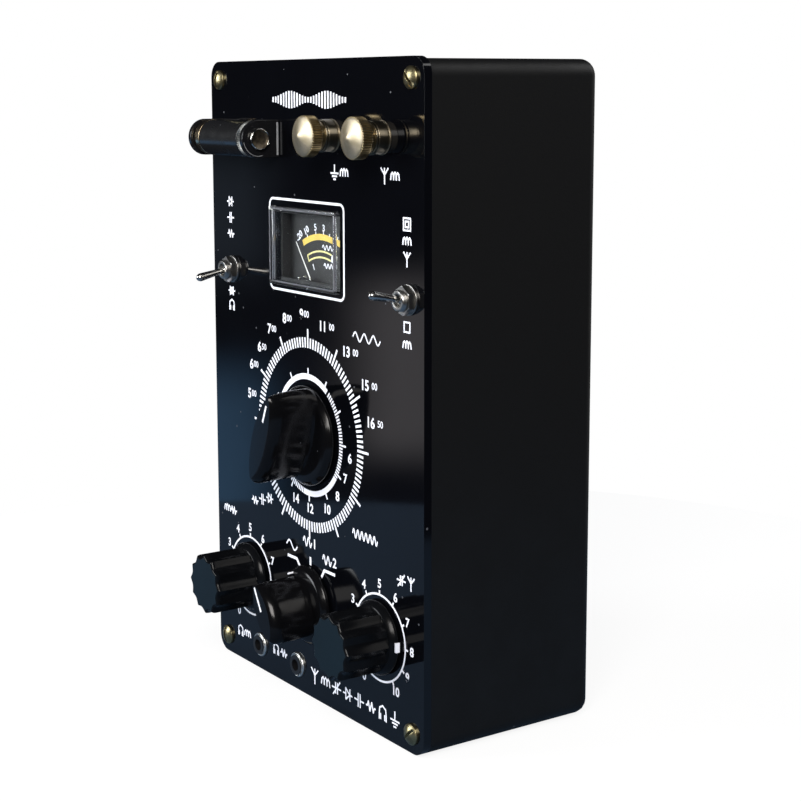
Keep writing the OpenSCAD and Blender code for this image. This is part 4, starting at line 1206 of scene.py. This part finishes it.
@dataclass
class BarKnob:
    """A knob with a round skirt and a crowned bar that points."""

    name: str
    node: str
    body: str
    x: float
    z: float
    angle: float
    skirt: float
    nose: float
    tail: float
    half: float
    top: float
    line: Point
    foot_mark: bool = False
    crown: float = 1.0

    def outline(self, section: Section, turn: float) -> Place:
        """Gives a point of the bar's outline.

        Args:
            section: its height, then the shares of the nose's and the tail's reach and of the
                half width, and how blunt its sides are.
            turn: the angle round the outline.

        Returns:
            The point.
        """
        height, nose, tail, half, power = section
        ahead, behind = self.nose * nose, self.tail * tail
        half = min(half, 1 - (1 - half) * self.crown)
        side = math.sin(turn)
        return ((ahead - behind) / 2 + (ahead + behind) / 2 * math.cos(turn),
                half * self.half * math.copysign(abs(side) ** power, side), height)

    def build(self) -> None:
        """Builds the skirt with its bar, and the white line on the bar."""
        top, r = self.top, self.skirt
        knob = Shape.loft([
            (2.4, 0.97, 0.94, 1.3, 1.0), (3.2, 0.985, 0.955, 1.18, 1.0),
            (4.2, 1.0, 0.965, 1.08, 1.0), (7.0, 1.0, 0.98, 1.02, 1.05),
            (top - 6.8, 0.995, 0.985, 0.985, 1.1), (top - 3.8, 0.975, 1.0, 0.985, 1.1),
            (top - 2.5, 0.963, 1.0, 0.95, 1.12), (top - 1.5, 0.95, 0.98, 0.88, 1.18),
            (top - 0.8, 0.94, 0.945, 0.81, 1.25), (top - 0.3, 0.93, 0.9, 0.72, 1.35),
            (top, 0.915, 0.87, 0.65, 1.4)], self.outline, 128)
        knob.add(Shape.lathe([(0, 0.6), (r - 0.1, 0.6, 0.15), (r, 0.9), (r, 1.5, 0.4),
                              (r - 1.3, 3.0, 0.5), (r - 3.2, 3.3, 0.3), (0, 3.3)], 128))
        place = on_panel(self.x, self.z, self.angle)
        knob.piece(self.name, KNOB, self.node, self.body, place)
        start, end = self.line
        mark = Shape.block((end - start, 0.75, 0.5), ((start + end) / 2, 0, top - 0.16), 0.06)
        if self.foot_mark:
            mark.add(Shape.block((0.5, 0.9, 1.7), (r - 1.7, 0, 3.7)))
        mark.piece(self.name + "_line", INK, body=self.body, place=place)


@dataclass
class FlutedKnob:
    """A knob with a low flange, twelve scallops and a flat face."""

    name: str
    node: str
    body: str
    x: float
    z: float
    mark: float
    mark_size: Place = (1.5, 1.1, 0.9)
    flutes: int = 12
    flange: float = 10.7

    def build(self) -> None:
        """Builds the knob, its face disc, whose bluish tint is a painted reflection, and its mark.
        """
        scallops, steps = fluted(lambda t: abs(math.sin(self.flutes / 2 * t))), self.flutes * 14
        knob = Shape.loft([(2.4, 9.5, 0.0), (2.9, 9.4, 0.6), (3.4, 9.5, 1.0), (15.6, 9.5, 1.05),
                           (16.3, 9.38, 1.05), (16.7, 9.1, 1.0), (16.88, 8.7, 0.95)],
                          scallops, steps)
        r = self.flange
        knob.add(Shape.lathe([(0, 0.6), (r - 0.1, 0.6, 0.15), (r, 0.8), (r, 1.3, 0.35),
                              (r - 0.6, 2.2, 0.4), (9.3, 3.0, 0.3), (0, 3.0)], 128))
        place = on_panel(self.x, self.z, 90)
        knob.piece(self.name, FLUTED, self.node, self.body, place)
        # The face disc's bluish colour is a painted reflection of the surroundings.
        face = Shape.loft([(16.7, 8.6, 0.95), (16.93, 8.6, 0.95), (16.96, 8.5, 0.94)],
                          scallops, steps)
        face.piece(self.name + "_face", KNOB_FACE_REFLECTION, body=self.body, place=place)
        mark = Shape.block(self.mark_size, (r - 0.3, 0, 1.2), 0.12)
        mark.piece(self.name + "_mark", INK, body=self.body,
                   place=on_panel(self.x, self.z, self.mark))


@dataclass
class BindingPost:
    """A terminal: black bush, brass stem with its collar, clamping washer and knurled nut."""

    side: str
    x: float
    z: float
    clamp_body: str
    nut_body: str
    collar_r: float = 4.6
    nut_r: float = 5.75
    knurls: int = 48

    def dress(self, shape: Shape, name: str, finish: Finish, node: str = "",
              body: str = "cabinet") -> None:
        """Ends a shape as one of the post's pieces.

        Args:
            shape: the shape.
            name: the end of the piece's name.
            finish: its finish.
            node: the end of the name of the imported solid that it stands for.
            body: the body that it rides on.
        """
        start = self.side + "_post_"
        shape.piece(start + name, finish, start + node if node else "", body,
                    on_panel(self.x, self.z), (self.x, PANEL_Y, self.z))

    def build(self) -> None:
        """Builds the pieces from the panel outwards."""
        self.dress(Shape.lathe([(2.05, -2.5), (3.0, -2.5), (3.0, 0), (4.2, 0, 0.1),
                                (4.2, 2.4, 0.25), (2.05, 2.4)]),
                   "insulator", POST_BLACK, "bush")
        r = self.collar_r
        self.dress(Shape.lathe([
            (0, -11.5), (1.7, -11.5), (2.0, -11.2), (2.0, 2.4), (r, 2.4, 0.08),
            (r, 2.95, 0.08), (r - 0.35, 3.05), (r - 0.35, 3.35), (r, 3.45, 0.08),
            (r, 6.2, 0.15), (2.0, 6.25), (2.0, 11.2, 0.2), (0, 11.2)]),
            "collar", COLLAR_BRASS, "stem")
        self.dress(Shape.sleeve(2.06, r - 0.2, 6.3, 6.88, 0.1), "clamp", COLLAR_BRASS, "washer",
                   self.clamp_body)
        self.dress(Shape.sleeve(r - 0.6, r + 0.06, 2.45, 2.8, 0.05), "seat", POST_BRASS)
        self.build_nut()

    def build_nut(self) -> None:
        """Builds the knurled nut with its tapered neck and coned face."""
        n = self.nut_r
        nut = Shape.loft([(6.96, 4.1, 0.0), (7.1, 4.25, 0.0), (7.7, 4.35, 0.0), (8.3, 4.6, 0.0),
                          (8.75, 5.2, 0.1), (8.92, n - 0.1, 0.36), (9.05, n, 0.45),
                          (11.8, n, 0.45), (11.94, n - 0.12, 0.36), (11.98, n - 0.3, 0.2)],
                         knurled(self.knurls), self.knurls * 6)
        self.dress(nut, "cap", POST_KNURL, "nut", self.nut_body)
        face = Shape.lathe([(0, 11.6), (n - 0.42, 11.6), (n - 0.4, 12.03, 0.03),
                            (n - 0.8, 12.2, 0.06), (0.5, 13.6, 0.1), (0, 13.64)], 128)
        self.dress(face, "face", POST_BRASS, body=self.nut_body)


@dataclass
class Toggle:
    """A miniature toggle switch."""

    side: str
    x: float
    lean: float
    z: float = 126.0
    neck_r: float = 2.88
    flats: float = 7.0
    cut: float = 2.5
    threads: int = 14
    pitch: float = 0.45
    thread_depth: float = 0.22
    pivot_out: float = 2.0
    lever_out: float = 12.9

    def hexagon(self, section: Section, turn: float) -> Place:
        """Gives a point of the chamfered nut's outline.

        Args:
            section: its height and its largest radius.
            turn: the angle round the outline.

        Returns:
            The point.
        """
        height, limit = section
        corner = (turn + math.pi / 6) % (math.pi / 3) - math.pi / 6
        r = min(self.flats / 2 / math.cos(corner), limit)
        return r * math.cos(turn), r * math.sin(turn), height

    def build(self) -> None:
        """Builds the housing, the threaded neck, the nut with its washer and the lever."""
        place = on_panel(self.x, self.z)
        start = self.side + "_switch_"
        nut = Shape.loft([(0.72, 3.75), (0.85, 3.95), (1.05, 4.1), (2.3, 4.1), (2.5, 3.95),
                          (2.66, 3.7)], self.hexagon, 96)
        nut.add(Shape.lathe([(2.9, 0), (4.2, 0, 0.1), (4.2, 0.68, 0.12), (2.9, 0.68)]))
        nut.piece(start + "hexagon", SWITCH_NUT, start + "nut", place=place)
        body = Shape.from_node(start + "body")
        bm = body.bm
        bmesh.ops.bisect_plane(bm, geom=bm.verts[:] + bm.edges[:] + bm.faces[:], dist=MERGE,
                               plane_co=(0, PANEL_Y + self.cut, 0), plane_no=(0, -1, 0),
                               clear_outer=True)
        bmesh.ops.holes_fill(bm, edges=[e for e in bm.edges if e.is_boundary], sides=0)
        body.piece(start + "housing", SWITCH_RED, start + "body")
        self.neck().piece(start + "neck", SWITCH_NUT, place=place)
        tilt = (Matrix.Translation((0, 0, self.pivot_out))
                @ Matrix.Rotation(math.radians(-self.lean), 4, "X"))
        self.lever().piece(start + "bat", LEVER_METAL, start + "lever", self.side + "_lever",
                           place @ tilt)

    def neck(self) -> Shape:
        """Models the threaded neck that the nut sits on.

        Returns:
            The neck.
        """
        r, low, deep = self.neck_r + 0.04, 0.1 - self.cut, self.thread_depth
        profile = [(1.8, low), (r - deep, low)]
        for i in range(self.threads):
            h = low + 0.1 + self.pitch * i
            profile += [(r, h + 0.1), (r, h + 0.2), (r - deep, h + 0.4)]
        return Shape.lathe(profile + [(r - 0.25, 4.05, 0.1), (1.8, 4.05, 0.1)], 64)

    def lever(self) -> Shape:
        """Models the bat-shaped lever, upright on its pivot.

        Returns:
            The lever.
        """
        reach = (self.lever_out - self.pivot_out) / math.cos(math.radians(self.lean)) - 0.02
        return Shape.lathe([(0, -5.3), (0.75, -5.3, 0.15), (0.78, -1.4), (1.2, -1.2),
                            (1.66, -0.3), (1.66, 0.3, 0.2), (1.15, 1.25, 0.2),
                            (0.86, 1.7, 0.1), (0.92, 3.0), (1.24, reach - 2.0, 0.3),
                            (1.28, reach - 1.2, 0.3), (0.9, reach - 0.3, 0.3),
                            (0.35, reach, 0.1), (0, reach)], 64)


@dataclass
class PhoneJacks:
    """The two phone jacks with their round nuts."""

    places: tuple = (-30.7, -8.3)
    z: float = 8.0
    nut_r: float = 3.78

    def build(self) -> None:
        """Builds both nuts and both sleeves."""
        nuts, sleeves = Shape(), Shape()
        r = self.nut_r
        for x in self.places:
            place = on_panel(x, self.z)
            nuts.add(Shape.lathe([(3.06, 0), (r, 0, 0.05), (r, 0.5, 0.2), (r - 0.3, 0.75, 0.15),
                                  (r - 0.55, 0.55, 0.1), (3.1, 0.5)]), place)
            sleeves.add(Shape.lathe([(1.86, 0.2), (3.04, 0.2), (3.0, 0.95, 0.2),
                                     (2.7, 1.15, 0.15), (2.2, 0.85, 0.2), (1.95, 0.4, 0.1)]),
                        place)
        nuts.piece("jack_rings", JACK_METAL, "jack_nuts")
        sleeves.piece("jack_sleeves", JACK_METAL)


@dataclass
class Detector:
    """The crystal detector: a black tube that turns between two brackets."""

    out: float = 7.1
    z: float = 167.1
    tube_r: float = 5.3
    knurls: int = 56

    def dress(self, shape: Shape, name: str, finish: Finish, node: str = "") -> None:
        """Ends a shape along the tube as one of its turning pieces.

        Args:
            shape: the shape.
            name: the end of the piece's name.
            finish: its finish.
            node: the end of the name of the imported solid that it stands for.
        """
        shape.piece("detector_" + name, finish, "detector_" + node if node else "", "detector",
                    along_panel(0, self.out, self.z))

    def build(self) -> None:
        """Builds the brackets, the tube, its ferrules and the eyelet."""
        self.build_stand()
        r = self.tube_r
        self.dress(Shape.sleeve(4.25, r, -42.75, -19.95, 0.12), "barrel", TUBE, "tube")
        self.dress(Shape.lathe([
            (0, -44.5), (4.15, -44.5), (4.15, -42.9), (r + 0.08, -42.9, 0.1),
            (r + 0.08, -43.4, 0.08), (r - 0.25, -43.55), (r - 0.2, -45.6, 0.3),
            (4.6, -47.2, 0.5), (0, -47.3)]), "cap", FERRULE, "ferrules")
        self.build_painted_highlights()
        self.dress(Shape.loft([(-19.94, 5.1, 0.0), (-19.8, 5.35, 0.1), (-19.65, 5.45, 0.26),
                               (-17.5, 5.45, 0.26), (-17.3, 5.3, 0.1), (-17.12, 5.0, 0.0)],
                              knurled(self.knurls), self.knurls * 6),
                   "knurl", KNURL_GREY)
        self.dress(Shape.lathe([
            (1.55, -17.9), (1.55, -15.65, 0.1), (3.15, -15.65, 0.1), (3.18, -15.2, 0.15),
            (3.06, -14.8, 0.1), (2.86, -14.76, 0.08), (2.74, -15.05, 0.08), (2.7, -15.64),
            (0, -15.64), (0, -17.9)]), "rim", EYELET, "eyelet")
        self.dress(Shape.lathe([(0, -15.63), (2.72, -15.63), (2.72, -15.05, 0.05),
                                (2.3, -15.25, 0.3), (1.2, -15.42, 0.4), (0, -15.45)], 64),
                   "pivot", EYELET_DOME)

    def build_stand(self) -> None:
        """Builds the two brackets, with thinner plates."""
        brackets = Shape.from_node("detector_brackets")
        for v in brackets.bm.verts:
            for face, moved in ((-18.0, -17.0), (-47.5, -48.5)):
                if v.co.y < PANEL_Y - 1.3 and abs(v.co.x - face) < 0.05:
                    v.co.x = moved
        brackets.bevel(brackets.sharp_edges(40), 0.18, 2)
        brackets.piece("detector_stand", BRACKET, "detector_brackets")

    def build_painted_highlights(self) -> None:
        """Builds the painted highlights on the near bracket's straight and rounded edges, as thin
        bright strips.
        """
        # Painted highlight: a thin strip on the straight edge and an arc on the rounded edge.
        edges = Shape.block((0.1, 0.6, 9.6), (-15.99, PANEL_Y - 0.65, self.z))
        arc = Ink(0.05)
        arc.arc((0, 0), 5.0, 0.14, -80, 15)
        edges.add(arc.shape, along_panel(-16.0, self.out, self.z))
        edges.piece("detector_painted_highlights", BRACKET_HIGHLIGHT, even=False)


@dataclass
class Internals:
    """The solids that keep their own mesh, each with its finish."""

    steel: tuple = ("tuning_shaft", "attenuator_shaft", "band_shaft", "antenna_shaft",
                    "bracket_screws", "meter_magnet")
    nuts: tuple = ("tuning_nut", "attenuator_nut", "band_nut", "antenna_nut")

    def build(self) -> None:
        """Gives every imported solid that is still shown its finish."""
        finishes = {
            "meter_housing": Finish("dark_plastic", (0.02, 0.021, 0.023), 0.4, patch=6),
            "meter_coil": Finish("copper_wire", (0.55, 0.24, 0.1), 0.3, 1.0, patch=2, grain=0.02,
                                 grain_size=0.15, stretch=(1, 8, 1)),
            "tuning_rotor": Finish("vane_aluminium", (0.7, 0.71, 0.72), 0.3, 1.0, patch=8,
                                   grain=0.004, stretch=(1, 1, 12)),
            "tuning_stator": Finish("stator_aluminium", (0.64, 0.65, 0.66), 0.34, 1.0, patch=8),
            "stator_insulators": Finish("ceramic", (0.8, 0.76, 0.66), 0.25, patch=4),
            "tuning_frame": Finish("frame_steel", (0.52, 0.53, 0.55), 0.38, 1.0, patch=9,
                                   grain=0.006),
            "attenuator_body": Finish("can_steel", (0.5, 0.51, 0.52), 0.3, 1.0, patch=6),
            "band_switch_body": Finish("wafer_board", (0.28, 0.16, 0.07), 0.5, patch=5,
                                       grain=0.006),
            "antenna_capacitor": Finish("ivory_plastic", (0.72, 0.68, 0.55), 0.35, patch=8),
            "post_rear_washers": Finish("fibre", (0.16, 0.05, 0.03), 0.6, patch=2, grain=0.01),
            "post_rear_nuts": SCREW_BRASS,
            "jack_bodies": Finish("jack_black", (0.008, 0.008, 0.009), 0.35, patch=4),
            "crystal_cup": Finish("galena", (0.3, 0.31, 0.33), 0.3, 0.9, patch=1.2, grain=0.05,
                                  grain_size=0.8),
            "cat_whisker": SCREW_BRASS,
            "ferrite_rod": Finish("ferrite", (0.045, 0.045, 0.05), 0.5, patch=5, grain=0.01),
            "coil_formers": Finish("former_paper", (0.55, 0.44, 0.26), 0.75, patch=6,
                                   grain=0.01),
            "coil_windings": Finish("winding_copper", (0.5, 0.2, 0.08), 0.35, 0.8, patch=3,
                                    grain=0.05, grain_size=0.4, stretch=(1, 0.02, 0.02)),
            "coil_clamps": Finish("clamp_plastic", (0.66, 0.65, 0.6), 0.4, patch=7),
            "tag_board": Finish("phenolic_board", (0.15, 0.055, 0.02), 0.4, patch=4,
                                grain=0.006),
            "diode": Finish("diode_glass", (0.5, 0.2, 0.06), 0.15, patch=1.5),
            "output_transformer": Finish("core_steel", (0.3, 0.31, 0.33), 0.45, 0.7, patch=5,
                                         grain=0.02, grain_size=0.5, stretch=(1, 1, 0.05)),
        }
        finishes.update({name: SHAFT for name in self.steel} | {name: CHROME for name in self.nuts})
        for name, finish in finishes.items():
            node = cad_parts[name]
            node.data.materials.clear()
            node.data.materials.append(finish.material())
            log.info("%s keeps its solid, finish %s", name, finish.name)


@dataclass(frozen=True)
class Card:
    """A soft-edged card in the surroundings, placed by azimuth and height in degrees."""

    sides: Point
    side_fade: float
    heights: Point
    height_fade: float
    colour: Colour

    def mask(self, graph: Graph, azimuth: Socket, height: Socket) -> Socket:
        """Gives the card's mask.

        Args:
            graph: the world's graph.
            azimuth: the direction's angle round the vertical.
            height: the direction's angle over the horizon.

        Returns:
            The mask's socket.
        """
        across, up = (graph.math("MULTIPLY", graph.ramp(angle, low - fade, low + fade),
                                 graph.ramp(angle, high - fade, high + fade, 1.0, 0.0))
                      for angle, (low, high), fade in ((azimuth, self.sides, self.side_fade),
                                                       (height, self.heights, self.height_fade)))
        return graph.math("MULTIPLY", across, up)


@dataclass
class Studio:
    """The floor, the lamps, the surroundings and the camera."""

    camera_at: Place = (407.96, -283.69, 181.94)
    yaw: float = 56.651
    pitch: float = 8.2996
    roll: float = -0.3136
    lens: float = 74.779
    shift: Point = (0.06055, -0.08801)
    floor_r: float = 260.0
    floor_drop: float = 0.4
    floor_glow: float = 0.86
    floor_seen: Colour = (0.95, 0.95, 0.95)
    floor_mirrored: Colour = (0.09, 0.15, 0.24)
    floor_patches: Colour = (0.08, 0.135, 0.22)
    room: Colour = (0.012, 0.013, 0.018)
    room_behind: Colour = (0.4, 0.4, 0.4)
    ambient: Colour = (0.42, 0.43, 0.45)
    lamps: tuple = (
        ("key_softbox", (620, -560, 560), (0, -30, 100), 420, 10.5, (1.0, 0.97, 0.93)),
        ("fill_softbox", (-420, -760, 330), (0, -30, 100), 420, 6.5, (0.93, 0.97, 1.0)),
        ("back_softbox", (300, 700, 700), (0, 0, 100), 500, 2.0, (1.0, 1.0, 1.0)))
    cards: tuple = (
        Card((-146.4, -138.0), 1.2, (-12.6, -6.6), 0.9, (0.68, 0.64, 0.66)),
        Card((-156.0, -149.6), 0.8, (-6.4, -2.2), 1.2, (0.11, 0.14, 0.18)),
        Card((-162.0, -149.6), 1.2, (-19.0, -9.8), 1.4, (0.2, 0.44, 0.78)))

    def build(self) -> None:
        """Builds all of it."""
        self.build_floor()
        self.build_world()
        for lamp in self.lamps:
            self.hang(*lamp)
        self.build_camera()

    @staticmethod
    def hang(name: str, at: Place, to: Place, size: float, watts: float, colour: Colour) -> None:
        """Hangs a soft square lamp.

        Args:
            name: the lamp's name.
            at: its place in millimetres.
            to: the point that it faces.
            size: its side in millimetres.
            watts: its power.
            colour: its colour.
        """
        data = bpy.data.lights.new(name, "AREA")
        data.shape, data.size, data.energy, data.color = "SQUARE", size * MM, watts, colour
        made = linked(name, data)
        made.visible_camera = False
        aim = (Vector(to) - Vector(at)).to_track_quat("-Z", "Y")
        made.matrix_world = Matrix.Translation(Vector(at) * MM) @ aim.to_matrix().to_4x4()

    def build_floor(self) -> None:
        """Builds the pale floor, white to the camera outside the radio's shadow."""
        bm = bmesh.new()
        bmesh.ops.create_circle(bm, cap_ends=True, radius=self.floor_r * MM, segments=128,
                                matrix=Matrix.Translation((0, 0, -self.floor_drop * MM)))
        mesh = bpy.data.meshes.new("studio_floor")
        bm.to_mesh(mesh)
        bm.free()
        linked("studio_floor", mesh)
        made, graph, surface = principled("pale_floor")
        mesh.materials.append(made)
        seen = graph.add("LightPath").outputs["Is Camera Ray"]
        spots = graph.place(Effect.PATCHES, graph.add("TexCoord").outputs["Object"], 6.0)
        mirrored = graph.blend(spots, (*self.floor_mirrored, 1), (*self.floor_patches, 1))
        graph.feed(surface, {"Roughness": 0.8, "Specular IOR Level": 0.1,
                             "Base Color": graph.blend(seen, mirrored, (*self.floor_seen, 1))})
        graph.end_with(graph.math("MULTIPLY", seen, self.floor_glow), surface,
                       graph.add("Emission", {"Color": (1, 1, 1, 1)}))

    def build_world(self) -> None:
        """Builds the white surroundings, with a dim studio in front for reflections."""
        world = bpy.data.worlds.new("studio")
        bpy.context.scene.world = world
        world.use_nodes = True
        graph = Graph(world.node_tree)
        rays = graph.add("LightPath").outputs
        x, y, z = graph.add("SeparateXYZ", {0: graph.add("TexCoord").outputs["Generated"]}).outputs
        azimuth, height = (graph.math("MULTIPLY", angle, 180 / math.pi) for angle in
                           (graph.math("ARCTAN2", y, x), graph.math("ARCSINE", z)))
        shown = graph.blend(graph.ramp(y, 0.8, 0.95), (*self.room, 1), (*self.room_behind, 1))
        for card in self.cards:
            shown = graph.blend(card.mask(graph, azimuth, height), shown, (*card.colour, 1))
        lit = graph.blend(rays["Is Diffuse Ray"], shown, (*self.ambient, 1))
        graph.feed(world.node_tree.nodes["Background"],
                   {"Color": graph.blend(rays["Is Camera Ray"], lit, (1, 1, 1, 1))})

    def build_camera(self) -> None:
        """Builds the camera at the photograph's place."""
        data = bpy.data.cameras.new("camera")
        data.lens, data.sensor_width = self.lens, 36.0
        data.shift_x, data.shift_y = self.shift
        camera = linked("camera", data)
        yaw, pitch, roll = (math.radians(a) for a in (self.yaw, self.pitch, self.roll))
        ahead = Vector((-math.sin(yaw) * math.cos(pitch), math.cos(yaw) * math.cos(pitch),
                        -math.sin(pitch)))
        right = Vector((math.cos(yaw), math.sin(yaw), 0))
        up = right.cross(ahead)
        across = math.cos(roll) * right + math.sin(roll) * up
        upright = -math.sin(roll) * right + math.cos(roll) * up
        turn = Matrix((across, upright, -ahead)).transposed().to_4x4()
        camera.matrix_world = Matrix.Translation(Vector(self.camera_at) * MM) @ turn
        bpy.context.scene.camera = camera


def main() -> None:
    """Builds the radio's looks in order and reports each piece."""
    logging.basicConfig(level=logging.INFO, format="%(message)s")
    bpy.context.scene.view_settings.view_transform = "Standard"
    Studio().build()
    parts = [
        Cabinet(), PanelPrint(), Meter(),
        BarKnob("tuning_pointer", "tuning_knob", "tuning", -1.0, 80.5, 67, 14.9, 16.3, 14.5, 5.8,
                17.25, (6.8, 12.3)),
        BarKnob("band_pointer", "band_knob", "band_selector", -1.0, 29.0, 120, 11.9, 9.2, 9.7,
                5.4, 16.95, (0.5, 8.0), True, 0.4),
        FlutedKnob("attenuator_grip", "attenuator_knob", "attenuator", -36.5, 29.0, 150),
        FlutedKnob("antenna_grip", "antenna_knob", "antenna_trimmer", 35.5, 29.0, 0,
                   (1.2, 2.8, 1.3)),
        BindingPost("ground", 16.5, 168.7, "ground_clamp", "ground_nut"),
        BindingPost("antenna", 41.0, 168.7, "antenna_clamp", "antenna_post_cap"),
        Toggle("left", -45.0, -11.5), Toggle("right", 50.2, 11.5),
        PhoneJacks(), Detector(), Internals()]
    for part in parts:
        part.build()


if __name__ == "__main__":
    main()
